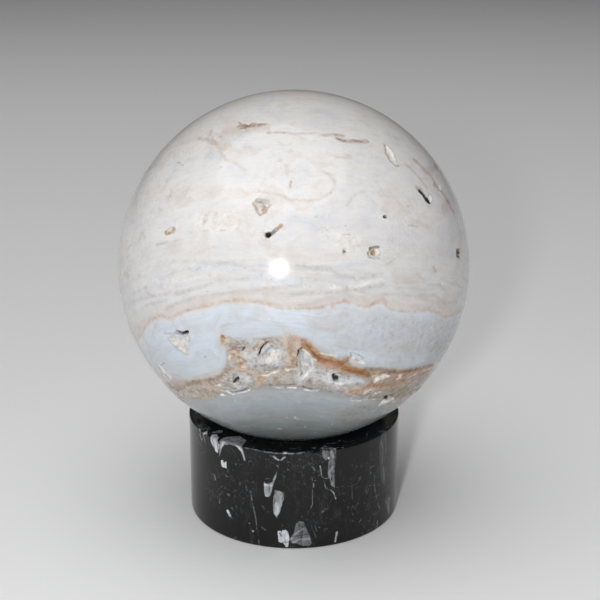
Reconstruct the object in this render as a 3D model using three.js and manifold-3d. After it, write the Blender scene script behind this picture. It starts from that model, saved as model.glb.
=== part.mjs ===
// A polished ball of banded calcite, resting in the mouth of a black fossil marble ring.
// Millimetres, +Z up. The origin is the middle of the ring's underside, and the front faces -Y.
import * as THREE from "three";
import { mergeVertices } from "three/addons/utils/BufferGeometryUtils.js";
import Module from "manifold-3d";

const wasm = await Module();
wasm.setup();

// Driving sizes.
const ballDiameter = 164;
const ringDiameter = 102;
const ringHeight = 49;
const rimCircle = 38.8; // radius at which the ball passes through the plane of the ring's top
const seatCircle = 36.6; // radius at which the ball bears on the ring's sloping seat
const boreRadius = 33.5;
const topEdge = 0.7; // width of the bevel round the ring's top
const footEdge = 0.9; // and round its foot, inside and outside
const contactGap = 0.3; // left between the ball and its seat

// Faceting.
const ballColumns = 64;
const ballRows = 32;
const ringSides = 96;
const pocketDetail = 1;

// The stone's beds lean back: their pole leans this many degrees from upright, away from the front.
const bedTilt = 28;

// Worked out.
const ballRadius = ballDiameter / 2;
const ringRadius = ringDiameter / 2;
const ballHeight = ringHeight + Math.sqrt(ballRadius ** 2 - rimCircle ** 2);

// Open pockets in the ball. round and level place the middle in degrees, round the beds' pole from
// the front and up from the bed through the ball's centre. long, wide and deep are millimetres, and
// turn raises the right end of the long side in degrees.
const bandPockets = [
  { round: -67, level: -40, long: 9, wide: 8, deep: 3, turn: 40 },
  { round: -75, level: -49.5, long: 6, wide: 4, deep: 2, turn: 0 },
  { round: -44, level: -31.5, long: 14, wide: 8, deep: 2.6, turn: -14 },
  { round: -41.5, level: -28.4, long: 7, wide: 2.2, deep: 4.2, turn: -6 },
  { round: -22.5, level: -33.5, long: 9.5, wide: 6, deep: 3.2, turn: -8 },
  { round: -22.5, level: -38.7, long: 7, wide: 4.5, deep: 2.4, turn: 0 },
  { round: -9.5, level: -36.5, long: 11, wide: 7, deep: 4.6, turn: 48 },
  { round: 4.3, level: -40.8, long: 15, wide: 7.4, deep: 4.8, turn: -72 },
  { round: -26, level: -45, long: 5.4, wide: 4, deep: 3, turn: 35 },
  { round: -29, level: -50.3, long: 9.5, wide: 2.4, deep: 2.6, turn: 4 },
  { round: 9, level: -50, long: 8.5, wide: 2.4, deep: 2.6, turn: -4 },
  { round: 19.5, level: -46, long: 10.5, wide: 6.5, deep: 5, turn: -24 },
  { round: 23.5, level: -38, long: 8.5, wide: 4, deep: 2, turn: -16 },
  { round: 36, level: -44.5, long: 9, wide: 4.6, deep: 2.6, turn: 10 },
  { round: 49.5, level: -44, long: 6, wide: 4, deep: 2.2, turn: -20 },
  { round: 37, level: -52, long: 7, wide: 4.2, deep: 2.2, turn: 12 },
  { round: 56, level: -53, long: 11.5, wide: 6.4, deep: 4.5, turn: -8 },
  { round: 72, level: -47, long: 6.5, wide: 4, deep: 2.4, turn: 0 },
  { round: 72, level: -54, long: 6.5, wide: 3, deep: 1.8, turn: -12 },
];
const upperPockets = [
  { round: -9.6, level: 6.4, long: 6.8, wide: 6.2, deep: 2.2, turn: -60 },
  { round: -6, level: -1.4, long: 8, wide: 3, deep: 3.4, turn: 38 },
  { round: -39.6, level: 1.8, long: 6, wide: 4, deep: 1.7, turn: -8 },
  { round: 34.8, level: 26.6, long: 11.5, wide: 5.4, deep: 2.1, turn: -68 },
  { round: 44.2, level: 13.9, long: 9, wide: 4, deep: 3.6, turn: -44 },
  { round: 62, level: -1.5, long: 6, wide: 5.6, deep: 2.8, turn: 0 },
  { round: 23.7, level: -6.2, long: 6, wide: 5, deep: 2.1, turn: 30 },
];

// Round the sides the pocketed band runs on, down to where the ring hides it.
const sidePocketsEach = 4;
const sideStart = 85;
const sideStep = 11.5;
const sideLevel = -48;

// A few small pits are strewn over the back.
const backPitCount = 7;
const goldenTurn = 137.508;

// Each outline wavers by this share of its size, and is this much larger than its table entry,
// because a faceted tool lies inside the round one it stands for.
const pocketWaver = 0.16;
const facetAllowance = 1.1;

function sidePockets() {
  const made = [];
  for (const side of [-1, 1]) {
    for (let i = 0; i < sidePocketsEach; i++) {
      const sway = Math.sin(2.3 * i + side);
      made.push({
        round: side * (sideStart + sideStep * i),
        level: sideLevel + 3 * sway,
        long: 8 + 2.5 * sway,
        wide: 4.4 - sway,
        deep: 2.8 + 0.5 * sway,
        turn: 14 * sway,
      });
    }
  }
  return made;
}

function backPits() {
  const made = [];
  for (let i = 0; i < backPitCount; i++) {
    made.push({
      round: 180 + 62 * Math.sin(THREE.MathUtils.degToRad(goldenTurn * i)),
      level: -24 + (72 * (i + 0.5)) / backPitCount,
      long: 5.2 + 1.2 * Math.cos(2 * i),
      wide: 3.8,
      deep: 1.8,
      turn: goldenTurn * i,
    });
  }
  return made;
}

// The point on the ball, its outward direction and the bed's run there, for a place on the beds.
function placeOnBall({ round, level }) {
  const tilt = THREE.MathUtils.degToRad(bedTilt);
  const along = THREE.MathUtils.degToRad(round);
  const up = THREE.MathUtils.degToRad(level);
  const pole = new THREE.Vector3(0, Math.sin(tilt), Math.cos(tilt));
  const front = new THREE.Vector3(0, -Math.cos(tilt), Math.sin(tilt));
  const right = new THREE.Vector3(1, 0, 0);
  const outward = right
    .clone()
    .multiplyScalar(Math.sin(along) * Math.cos(up))
    .addScaledVector(front, Math.cos(along) * Math.cos(up))
    .addScaledVector(pole, Math.sin(up));
  const run = right
    .clone()
    .multiplyScalar(Math.cos(along))
    .addScaledVector(front, -Math.sin(along));
  const rise = outward.clone().cross(run);
  const point = outward.clone().multiplyScalar(ballRadius);
  return { point, run, rise, outward };
}

// A closed mesh as a solid that can be cut.
function solidOf(geometry) {
  const bare = geometry.clone();
  bare.deleteAttribute("normal");
  bare.deleteAttribute("uv");
  const merged = mergeVertices(bare, 1e-4);
  return new wasm.Manifold(
    new wasm.Mesh({
      numProp: 3,
      vertProperties: merged.attributes.position.array,
      triVerts: new Uint32Array(merged.index.array),
    }),
  );
}

function geometryOf(solid) {
  const mesh = solid.getMesh();
  const geometry = new THREE.BufferGeometry();
  geometry.setAttribute("position", new THREE.BufferAttribute(mesh.vertProperties, 3));
  geometry.setIndex(new THREE.BufferAttribute(mesh.triVerts, 1));
  geometry.computeVertexNormals();
  return geometry;
}

// A lumpy lens, half of it under the ball's surface.
function pocketTool(pocket, index) {
  const tool = new THREE.IcosahedronGeometry(1, pocketDetail);
  const corners = tool.attributes.position;
  const corner = new THREE.Vector3();
  for (let i = 0; i < corners.count; i++) {
    corner.fromBufferAttribute(corners, i);
    const wave = 4 * corner.x + 5 * corner.y + 3 * corner.z + 1.7 * index;
    corner.multiplyScalar(1 + pocketWaver * Math.sin(wave));
    corners.setXYZ(i, corner.x, corner.y, corner.z);
  }
  const half = facetAllowance / 2;
  tool.scale(pocket.long * half, pocket.wide * half, pocket.deep * facetAllowance);
  tool.rotateZ(THREE.MathUtils.degToRad(pocket.turn));
  const { point, run, rise, outward } = placeOnBall(pocket);
  tool.applyMatrix4(new THREE.Matrix4().makeBasis(run, rise, outward).setPosition(point));
  return solidOf(tool);
}

function makeBall() {
  const round = new THREE.SphereGeometry(ballRadius, ballColumns, ballRows);
  round.rotateX(Math.PI / 2);
  let stone = solidOf(round);
  const pockets = [...bandPockets, ...upperPockets, ...sidePockets(), ...backPits()];
  pockets.forEach((pocket, index) => {
    stone = stone.subtract(pocketTool(pocket, index));
  });
  const ball = new THREE.Mesh(
    geometryOf(stone),
    new THREE.MeshStandardMaterial({ color: 0xe4ddd3, roughness: 0.18, metalness: 0 }),
  );
  ball.name = "ball";
  ball.position.z = ballHeight;
  return ball;
}

// The ring's section, worked round from its foot. The seat slopes along the ball's own tangent.
function ringSection() {
  const bearing = ballRadius + contactGap;
  const slope = Math.asin(seatCircle / bearing);
  const seatZ = ballHeight - bearing * Math.cos(slope);
  const seatAt = (radius) => seatZ + (radius - seatCircle) * Math.tan(slope);
  const mouthRadius = seatCircle + (ringHeight - seatZ) / Math.tan(slope);
  return [
    [boreRadius + footEdge, 0],
    [ringRadius - footEdge, 0],
    [ringRadius, footEdge],
    [ringRadius, ringHeight - topEdge],
    [ringRadius - topEdge, ringHeight],
    [mouthRadius, ringHeight],
    [boreRadius, seatAt(boreRadius)],
    [boreRadius, footEdge],
    [boreRadius + footEdge, 0],
  ].map(([radius, z]) => new THREE.Vector2(radius, z));
}

function makeRingStand() {
  const turned = new THREE.LatheGeometry(ringSection(), ringSides);
  turned.rotateX(Math.PI / 2);
  const stand = new THREE.Mesh(
    geometryOf(solidOf(turned)),
    new THREE.MeshStandardMaterial({ color: 0x1a1a1c, roughness: 0.14, metalness: 0 }),
  );
  stand.name = "ring_stand";
  return stand;
}

const group = new THREE.Group();
group.add(makeRingStand());
group.add(makeBall());

export default group;
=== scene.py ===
import math

import bmesh
import bpy
import numpy as np
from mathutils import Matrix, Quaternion, Vector, noise


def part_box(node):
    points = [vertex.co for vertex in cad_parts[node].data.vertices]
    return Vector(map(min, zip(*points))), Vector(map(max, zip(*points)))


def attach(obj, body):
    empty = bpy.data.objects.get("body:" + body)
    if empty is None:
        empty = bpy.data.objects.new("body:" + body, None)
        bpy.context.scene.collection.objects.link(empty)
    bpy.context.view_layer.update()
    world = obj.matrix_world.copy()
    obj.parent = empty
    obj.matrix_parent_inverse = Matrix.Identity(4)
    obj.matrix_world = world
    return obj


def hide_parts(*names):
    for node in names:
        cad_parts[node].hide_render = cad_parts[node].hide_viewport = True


# A polished ball of banded calcite in the mouth of a black fossil marble ring.
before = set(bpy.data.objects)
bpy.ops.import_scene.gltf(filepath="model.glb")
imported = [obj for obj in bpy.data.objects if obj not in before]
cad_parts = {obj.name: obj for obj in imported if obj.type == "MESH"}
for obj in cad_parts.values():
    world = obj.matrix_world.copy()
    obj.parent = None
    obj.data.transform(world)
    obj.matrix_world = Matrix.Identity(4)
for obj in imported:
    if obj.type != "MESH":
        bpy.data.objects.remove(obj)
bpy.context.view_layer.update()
scene = bpy.context.scene
scene.view_settings.view_transform = "Standard"
mm = 0.001
noise.seed_set(4)  # or else noise vectors change from run to run

ballLow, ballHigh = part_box("ball")
ringLow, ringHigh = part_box("ring_stand")
ballRadius = (ballHigh.x - ballLow.x) / 2
ballCentre = Vector((0, 0, ballHigh.z - ballRadius))
ringRadius = (ringHigh.x - ringLow.x) / 2
print("frame read: ball", round(ballRadius / mm, 1), "ring", round(ringRadius / mm, 1))

# Camera and lights, angles in degrees round the ball's middle from the front (-Y)
studio = {
    "lens": 76.5,
    "above": 16.7,
    "away": 7.32,  # ball radii
    "ballOff": (-6.0, 33.9),  # pixels the ball's middle sits left of and above the frame's
    "frameSize": 600,
    "sensor": 36,
    "keyRound": -8.8,
    "keyAbove": 15.4,
    "keyAway": 0.9,
    "keySize": 0.072,
    "keyPower": 4.2,
    "skyRound": -40,
    "skyAbove": 80,
    "skyAway": 2.6,
    "skySize": 3.6,
    "skyPower": 46,
    "worldLight": 0.09,
    "floorWidth": 14,
    "floorTone": 0.93,
}


def roundTheBall(roundAngle, above, away):
    roundAngle, above = math.radians(roundAngle), math.radians(above)
    flat = math.cos(above)
    out = Vector((math.sin(roundAngle) * flat, -math.cos(roundAngle) * flat, math.sin(above)))
    return ballCentre + out * away


def makeCamera():
    data = bpy.data.cameras.new("camera")
    data.lens = studio["lens"]
    data.sensor_width = studio["sensor"]
    made = bpy.data.objects.new("camera", data)
    made.location = roundTheBall(0, studio["above"], studio["away"] * ballRadius)
    focal = studio["lens"] / studio["sensor"] * studio["frameSize"]
    left, up = studio["ballOff"]
    aim = (ballCentre - made.location).to_track_quat("-Z", "Y")
    aim = aim @ Quaternion((1, 0, 0), -math.atan2(up, focal))
    aim = aim @ Quaternion((0, 1, 0), math.atan2(left, focal))
    made.rotation_euler = aim.to_euler()
    scene.collection.objects.link(made)
    scene.camera = made


def makeLight(name, place, size, power):
    data = bpy.data.lights.new(name, "AREA")
    data.shape = "DISK"
    data.size = size
    data.energy = power
    made = bpy.data.objects.new(name, data)
    made.location = place
    made.rotation_euler = (ballCentre - place).to_track_quat("-Z", "Y").to_euler()
    scene.collection.objects.link(made)


def screenColour(text):
    # a six-figure screen colour as the shader's own linear one
    parts = [int(text[i : i + 2], 16) / 255 for i in (0, 2, 4)]
    return tuple(p / 12.92 if p <= 0.04045 else ((p + 0.055) / 1.055) ** 2.4 for p in parts) + (1,)


# Short ways to wire a material
def put(tree, kind, inputs=None, output=0, **settings):
    made = tree.nodes.new("ShaderNode" + kind)
    for name, value in settings.items():
        setattr(made, name, value)
    for key, value in (inputs or {}).items():
        if isinstance(value, bpy.types.NodeSocket):
            tree.links.new(value, made.inputs[key])
        else:
            made.inputs[key].default_value = value
    return made.outputs[output]


def sums(tree, operation, a, b, clamp=False):
    return put(tree, "Math", {0: a, 1: b}, operation=operation, use_clamp=clamp)


def spread(tree, value, low, high, newLow=0.0, newHigh=1.0, smooth=True):
    inputs = {"Value": value, 1: low, 2: high, 3: newLow, 4: newHigh}
    return put(tree, "MapRange", inputs, interpolation_type="SMOOTHSTEP" if smooth else "LINEAR")


def blendColour(tree, factor, a, b, how="MIX"):
    return put(tree, "Mix", {0: factor, 6: a, 7: b}, output=2, data_type="RGBA", blend_type=how)


def ramp(tree, factor, stops):
    made = tree.nodes.new("ShaderNodeValToRGB")
    tree.links.new(factor, made.inputs[0])
    while len(made.color_ramp.elements) < len(stops):
        made.color_ramp.elements.new(0.5)
    for element, (place, colour) in zip(made.color_ramp.elements, stops):
        element.position = place
        element.color = screenColour(colour)
    return made.outputs[0]


def grain(tree, vector, scale, detail=3.0, rough=0.5, distortion=0.0, w=None):
    inputs = {
        "Vector": vector,
        "Scale": scale,
        "Detail": detail,
        "Roughness": rough,
        "Distortion": distortion,
    }
    if w is not None:
        inputs["W"] = w
    return put(tree, "TexNoise", inputs, noise_dimensions="3D" if w is None else "4D")


def newMaterial(name):
    made = bpy.data.materials.new(name)
    made.use_nodes = True
    tree = made.node_tree
    tree.nodes.clear()
    shader = tree.nodes.new("ShaderNodeBsdfPrincipled")
    end = tree.nodes.new("ShaderNodeOutputMaterial")
    tree.links.new(shader.outputs[0], end.inputs[0])
    return made, tree, shader


def attribute(tree, name, output="Fac"):
    return put(tree, "Attribute", output=output, attribute_name=name)


def multiplied(tree, *values):
    result = values[0]
    for value in values[1:]:
        result = sums(tree, "MULTIPLY", result, value)
    return result


def tinted(tree, colour, tone, *covers):
    return blendColour(tree, multiplied(tree, *covers), colour, screenColour(tone))


def shaded(tree, colour, strength, factor, stops):
    return blendColour(tree, strength, colour, ramp(tree, factor, stops), "MULTIPLY")


def meshObject(name, bm):
    mesh = bpy.data.meshes.new(name)
    bm.to_mesh(mesh)
    bm.free()
    made = bpy.data.objects.new(name, mesh)
    scene.collection.objects.link(made)
    return made


makeCamera()
makeLight(
    "key",
    roundTheBall(studio["keyRound"], studio["keyAbove"], studio["keyAway"]),
    studio["keySize"],
    studio["keyPower"],
)
makeLight(
    "sky",
    roundTheBall(studio["skyRound"], studio["skyAbove"], studio["skyAway"]),
    studio["skySize"],
    studio["skyPower"],
)
world = bpy.data.worlds.new("room")
world.use_nodes = True
world.node_tree.nodes["Background"].inputs[0].default_value = (1, 1, 1, 1)
world.node_tree.nodes["Background"].inputs[1].default_value = studio["worldLight"]
scene.world = world
print("camera and lights placed")

# The beds lean back. round goes about their pole from the front, and level goes up from the bed
# through the ball's middle.
bedTilt = math.radians(28)
bedRight = np.array([1.0, 0.0, 0.0])
bedFront = np.array([0.0, -math.cos(bedTilt), math.sin(bedTilt)])
bedPole = np.array([0.0, math.sin(bedTilt), math.cos(bedTilt)])
radiusMm = ballRadius / mm
degreeMm = radiusMm * math.pi / 180


def bedPlaces(points):
    out = points / np.linalg.norm(points, axis=1)[:, None]
    roundAngle = np.degrees(np.arctan2(out @ bedRight, out @ bedFront))
    level = np.degrees(np.arcsin(np.clip(out @ bedPole, -1, 1)))
    return np.stack([roundAngle, level], 1)


# How each bed's edge rises and falls, as (round, level)
bedEdges = {
    -51: [(-180, -54), (-110, -51), (-75, -50), (-60, -52), (-45, -52.5), (-35, -51), (-15, -49),
          (-5, -49.5), (15, -51), (35, -53.5), (55, -54), (75, -54), (110, -56), (180, -54)],
    -42: [(-180, -44), (-110, -42), (-75, -43.5), (-50, -45), (-40, -45), (-30, -43.5), (-27, -40),
          (-24, -32), (-5, -32), (4, -33), (8, -36), (13, -38), (20, -38.5), (24, -41.5), (40, -41),
          (60, -39.5), (70, -38.5), (90, -34), (130, -40), (180, -44)],
    -22: [(-180, -21), (-130, -25), (-100, -26), (-70, -27.6), (-63, -25.1), (-57, -23.5), (-53.6, -22.4),
          (-50, -22.6), (-43.6, -24), (-40, -22.8), (-29.5, -21.7), (-20.5, -20.6), (-10.5, -21.5),
          (-5, -23.3), (8.2, -23.5), (13.2, -22.2), (16, -21), (21.5, -22.2), (24, -22), (28.6, -19.9),
          (32.3, -22.6), (40, -22.4), (50, -20.6), (60, -21.7), (68, -20), (75, -17.5), (85, -15),
          (130, -17), (180, -21)],
    -10: [(-180, -10), (-60, -11), (-20, -9.5), (5, -12), (20, -11), (50, -9), (100, -7), (180, -10)],
}


def evenLevels(places):
    # the level a place would have if every bed lay flat
    roundAngle, level = places[:, 0], places[:, 1]
    flat = [-90.0] + sorted(bedEdges) + [90.0]
    real = [np.full(len(places), -90.0)]
    for edge in sorted(bedEdges):
        real.append(np.interp(roundAngle, *zip(*bedEdges[edge])))
    real.append(np.full(len(places), 90.0))
    result = level.copy()
    for i in range(len(flat) - 1):
        part = (level - real[i]) / (real[i + 1] - real[i])
        inside = (part >= 0) & (part <= 1)
        result[inside] = flat[i] + part[inside] * (flat[i + 1] - flat[i])
    return result


# Distances on the ball, in millimetres, from places given as (round, level)
def flatMm(places, about):
    across = (places[:, 0] - about[0] + 180) % 360 - 180
    return np.stack([across * math.cos(math.radians(about[1])), places[:, 1] - about[1]], 1) * degreeMm


def lineDistance(points, corners):
    if len(corners) == 1:
        return np.linalg.norm(points - corners[0], axis=1)
    best = np.full(len(points), 1e9)
    for a, b in zip(corners[:-1], corners[1:]):
        along = b - a
        share = np.clip((points - a) @ along / max(along @ along, 1e-9), 0, 1)
        best = np.minimum(best, np.linalg.norm(points - a - share[:, None] * along, axis=1))
    return best


def insideOutline(points, corners):
    inside = np.zeros(len(points), bool)
    for a, b in zip(corners, np.roll(corners, -1, axis=0)):
        if a[1] == b[1]:
            continue
        crosses = (points[:, 1] < a[1]) != (points[:, 1] < b[1])
        at = a[0] + (points[:, 1] - a[1]) / (b[1] - a[1]) * (b[0] - a[0])
        inside ^= crosses & (points[:, 0] < at)
    return inside


def nearFeature(places, corners, reach):
    # the places within reach of a feature, then both of them in millimetres about its middle
    corners = np.array(corners, float)
    about = (corners.min(0) + corners.max(0)) / 2
    flatCorners = flatMm(corners, about)
    flatPlaces = flatMm(places, about)
    extent = np.abs(flatCorners).max(0) + reach
    near = np.nonzero((np.abs(flatPlaces) < extent).all(1))[0]
    return near, flatPlaces[near], flatCorners


# Open pockets in the ball. Rows are (outline, deep mm, wall mm, lean), where wall is how wide the
# sloping side is and lean is the way to the deepest side, in degrees up from the right.
pocketShapes = {
    "whiteHollow": ([(-70, -38), (-67, -37), (-65, -38.6), (-64.5, -41), (-66.5, -42.8),
                     (-69.5, -42)], 1.1, 2.4, 150),
    "creamHollow": ([(-50, -29.6), (-44, -29.2), (-39, -29.2), (-38.5, -31), (-41, -34.5), (-42.5, -36.5),
                     (-45, -35.5), (-48, -32.5)], 0.9, 4.2, 80),
    "chamberTop": ([(-24.4, -31.8), (-22.6, -31.5), (-20.8, -32.7), (-19.2, -33.5), (-22, -33.6),
                    (-24.8, -33.6)], 1.5, 1.2, 60),
    "chamberFoot": ([(-25.2, -34.3), (-21.5, -34.2), (-18.3, -34.6), (-18.1, -35.6), (-20.4, -35.5),
                     (-24.8, -35.8)], 1.9, 1.0, 10),
    "lumpHollow": ([(-23, -38), (-20.6, -37.9), (-19.4, -39), (-20.4, -40.2),
                    (-22.6, -40)], 0.9, 1.4, 90),
    "ovalVug": ([(-13.7, -38.3), (-12.4, -36.3), (-11, -34.9), (-9.1, -33.8), (-6.9, -34.3),
                 (-4.8, -35.7), (-4.7, -37.8), (-6.2, -39.6), (-9.9, -41), (-13.2, -40)], 2.4, 3.4, 140),
    "wedgeVug": ([(2.8, -35.6), (4.6, -37.5), (8.2, -39.7), (7.7, -41.6), (7.1, -43.5), (4.4, -45.4),
                  (2.7, -45.4), (2, -41.7), (1.5, -38.2)], 2.3, 1.5, 165),
    "smallPit": ([(-26.2, -43.5), (-24, -43.9), (-23.7, -45.6), (-26.4, -47.3),
                  (-27.5, -46.2)], 2.2, 1.2, 250),
    "roundVug": ([(16, -44.4), (18.4, -44), (22, -45.2), (24.4, -46.8), (23.8, -47.9), (20.4, -48),
                  (17.4, -46.8)], 2.8, 2.0, 165),
    "recess": ([(21.1, -36.7), (24, -37.1), (27.4, -38.3), (29, -39.8), (25, -39.9),
                (22, -39.2)], 1.8, 1.0, 110),
    "lensHollow": ([(32.6, -44.3), (37, -43.9), (41.2, -42.7), (44, -43.8), (42, -45.3), (38, -46.5),
                    (35, -45.7)], 2.0, 1.7, 120),
    "curlHollow": ([(48.8, -43.2), (50.6, -42.6), (52, -43.8), (50.6, -45.2),
                    (48.8, -44.6)], 1.3, 0.8, 110),
    "firstFlake": ([(35.4, -51.4), (38.4, -49.3), (39.4, -50.2), (36.6, -52.4)], 1.3, 0.9, 120),
    "secondFlake": ([(41.6, -51.8), (45.4, -49.8), (46.6, -50.6), (43, -52.8)], 1.3, 0.9, 120),
    "cornerHole": ([(51.8, -52.4), (53.8, -51.2), (58, -51.6), (62.4, -51.4), (60, -53.8), (55.2, -56.4),
                    (53, -55)], 2.6, 1.5, 150),
    "thirdFlake": ([(65.6, -50), (67.4, -48.8), (70, -51.6), (69.4, -53)], 1.4, 0.9, 120),
    "edgeFlake": ([(71, -48), (74.6, -45.2), (76.4, -46.2), (73, -49)], 1.6, 1.0, 120),
    "footFlake": ([(75.4, -55.8), (80, -53.6), (81.4, -54.8), (77.4, -56.9)], 1.3, 0.9, 120),
    "farLeft": ([(-77.5, -48.8), (-75, -48.2), (-72.8, -49.3), (-74, -50.7), (-77, -50.4)], 1.8, 1.2, 90),
    "leftFlake": ([(-40, -51.6), (-36.8, -51.4), (-35.6, -52.5), (-38.6, -52.9)], 0.9, 0.7, 90),
    "rimmedPit": ([(-12.1, 7.4), (-10.7, 8.7), (-7.3, 8.1), (-6.2, 6.7), (-8.1, 4.4), (-9.9, 3.3),
                   (-11, 5.2)], 1.6, 1.6, 100),
    "tanPit": ([(-42, 1.4), (-40, 2.9), (-37.6, 2.6), (-37.4, 0.9), (-39.4, 0.5),
                (-41, 0.6)], 1.2, 1.3, 90),
    "creamPit": ([(33.3, 30.2), (32.7, 27), (33.2, 24.2), (34.9, 22.6), (36.2, 24), (36.2, 28),
                  (35, 30.6)], 1.5, 1.4, 180),
    "facetPit": ([(46.2, 12.8), (47, 15), (48.6, 15.2), (48.6, 12.8), (47.4, 11.6)], 0.8, 1.0, 180),
    "sidePit": ([(60.4, -1.4), (61.2, 0.3), (63.5, 0.2), (64, -1.6), (62.8, -3.1),
                 (61, -2.9)], 2.4, 1.2, 150),
    "yellowPit": ([(21.6, -7), (23, -5), (24.9, -4.3), (26.2, -5.7), (26, -8.1), (24.5, -8.5),
                   (22.3, -7.8)], 1.8, 1.5, 110),
    "brownPit": ([(13.8, -6.5), (14.7, -5.7), (15.7, -6.5), (15, -7.7), (14.1, -7.6)], 0.9, 0.8, 90),
    "chipPit": ([(51.5, 18.4), (53.5, 20.8), (56.8, 20.4), (57, 18.4), (54, 17.2)], 0.7, 1.0, 90),
}
# Slits run along a line. Rows are (line, wide mm, deep mm).
slitShapes = {
    "topSlit": ([(-43.9, -27.9), (-42.6, -28.8), (-40.8, -29.1), (-38.9, -28.8)], 1.7, 4.2),
    "crescent": ([(-13.3, -38.2), (-12.5, -36.6), (-11.1, -35.2), (-9, -33.7)], 1.0, 4.6),
    "leftSlit": ([(-34.6, -49.7), (-31.7, -50.1), (-28, -49.7)], 0.7, 1.4),
    "longSlit": ([(-31.6, -50.7), (-30.2, -51.4), (-28.5, -51), (-25.4, -50.8),
                  (-21.5, -49.8)], 0.8, 2.2),
    "pitSlash": ([(-27, -46.9), (-24.4, -45.9)], 0.9, 3.2),
    "footSlit": ([(-11.1, -48.6), (-8.9, -49.1), (-5.7, -48.8), (0.5, -48.7)], 0.6, 1.2),
    "crackedLine": ([(-11.4, -43.4), (-8.5, -43.2), (-6.2, -42.3)], 0.6, 1.3),
    "rightSlit": ([(4.3, -49.6), (6, -50.2), (10, -50.3)], 0.7, 1.8),
    "leaningHole": ([(-7.5, -2.6), (-6, -1.5), (-4.8, -0.5)], 2.0, 2.2),
    "shoulderSlit": ([(42.6, 15.2), (44.1, 14), (46, 11.9)], 1.5, 2.2),
    "crownCrack": ([(-20.5, 37.6), (-17.6, 36.5), (-15.8, 37.6), (-14.3, 37.1), (-11, 36.7)], 0.7, 0.7),
    "chamberEdge": ([(-19, -34.2), (-18, -35), (-18.7, -36)], 0.8, 2.8),
    "cornerDeep": ([(52.6, -52), (53.8, -52.4)], 2.0, 4.4),
    "roundDeep": ([(16.8, -45.2), (18.2, -45.2)], 2.2, 5.4),
    "wedgeEdge": ([(2.6, -35.8), (1.6, -36.6), (1.4, -38.2)], 0.8, 3.6),
    "wedgeFoot": ([(3, -45.1)], 1.0, 2.6),
    "lensEdge": ([(32.8, -44.3), (36.5, -44.3), (41, -42.9)], 0.7, 1.6),
    "dotHole": ([(27.6, 4.6)], 1.5, 1.8),
}


def ellipseOutline(at, long, wide, turn, corners=14):
    # a wavering ellipse, sizes in millimetres
    found = []
    turn = math.radians(turn)
    for i in range(corners):
        angle = 2 * math.pi * i / corners
        waver = 1 + 0.14 * math.sin(3 * angle + at[0]) + 0.08 * math.sin(5 * angle + at[1])
        x = long / 2 * math.cos(angle) * waver
        y = wide / 2 * math.sin(angle) * waver
        across = (x * math.cos(turn) - y * math.sin(turn)) / degreeMm / math.cos(math.radians(at[1]))
        found.append((at[0] + across, at[1] + (x * math.sin(turn) + y * math.cos(turn)) / degreeMm))
    return found


# Pockets that the photograph doesn't show, and the crumbs lost from the band, angles in degrees
strewn = {
    "sidePockets": 4,  # on either side
    "sideStart": 85,
    "sideStep": 11.5,
    "sideLevel": -48,
    "backPits": 7,
    "backReach": 62,
    "backFoot": -24,
    "backRise": 72,
    "goldenTurn": 137.508,
    "crumbs": 190,
    "crumbSeed": 7,
}


def hiddenPockets():
    # the pocketed band runs on round the sides, and small pits are strewn over the back
    found = []
    for side in (-1, 1):
        for i in range(strewn["sidePockets"]):
            sway = math.sin(2.3 * i + side)
            at = (side * (strewn["sideStart"] + strewn["sideStep"] * i), strewn["sideLevel"] + 3 * sway)
            outline = ellipseOutline(at, 8 + 2.5 * sway, 4.4 - sway, 14 * sway)
            found.append((outline, 2.8 + 0.5 * sway, 1.6, 90))
    for i in range(strewn["backPits"]):
        turn = strewn["goldenTurn"] * i
        roundAngle = 180 + strewn["backReach"] * math.sin(math.radians(turn))
        level = strewn["backFoot"] + strewn["backRise"] * (i + 0.5) / strewn["backPits"]
        outline = ellipseOutline((roundAngle, level), 5.2 + 1.2 * math.cos(2 * i), 3.8, turn)
        found.append((outline, 1.8, 1.3, 90))
    return found


def bandPits():
    # crumbs lost from the band, two in three of them on the side the photograph shows
    chance = np.random.default_rng(strewn["crumbSeed"])
    found = []
    for i in range(strewn["crumbs"]):
        roundAngle = chance.uniform(-180, 180) if i % 3 == 0 else chance.uniform(-75, 80)
        share = chance.uniform(0.03, 0.97)
        top = np.interp(roundAngle, *zip(*bedEdges[-42]))
        foot = np.interp(roundAngle, *zip(*bedEdges[-51]))
        at = (roundAngle, foot + share * (top - foot))
        long = chance.uniform(0.7, 2.4)
        wide = long * chance.uniform(0.4, 0.8)
        outline = ellipseOutline(at, long, wide, chance.uniform(-30, 30), 9)
        found.append((outline, chance.uniform(0.3, 0.9), 0.5, 90))
    return found


# Stains and marks, some of them painted shade and highlight. Rows are (colour, strength, wide mm, line of
# places), painted in this order.
paints = {
    "rust": "a3734a",
    "deepRust": "7a5036",
    "ochre": "bb9a66",
    "tan": "bfa88e",
    "wash": "cdb9a4",
    "olive": "8e866a",
    "pink": "d0b7a9",
    "rose": "bd8c78",
    "brown": "85664f",
    # umber is also painted shade along the slits
    "umber": "4c3a2f",
    "grey": "908e8b",
    "slate": "8b949d",
    # black is dark stain and painted shade deep in the slits and holes
    "black": "14110f",
    # white is white calcite, and also painted highlight on lower pocket lips and flakes
    "white": "f8f6f2",
    "cream": "ece2d2",
    "pale": "d3d7da",
    "ice": "d6e2ee",
    "dove": "bdb9b5",
}
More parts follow.
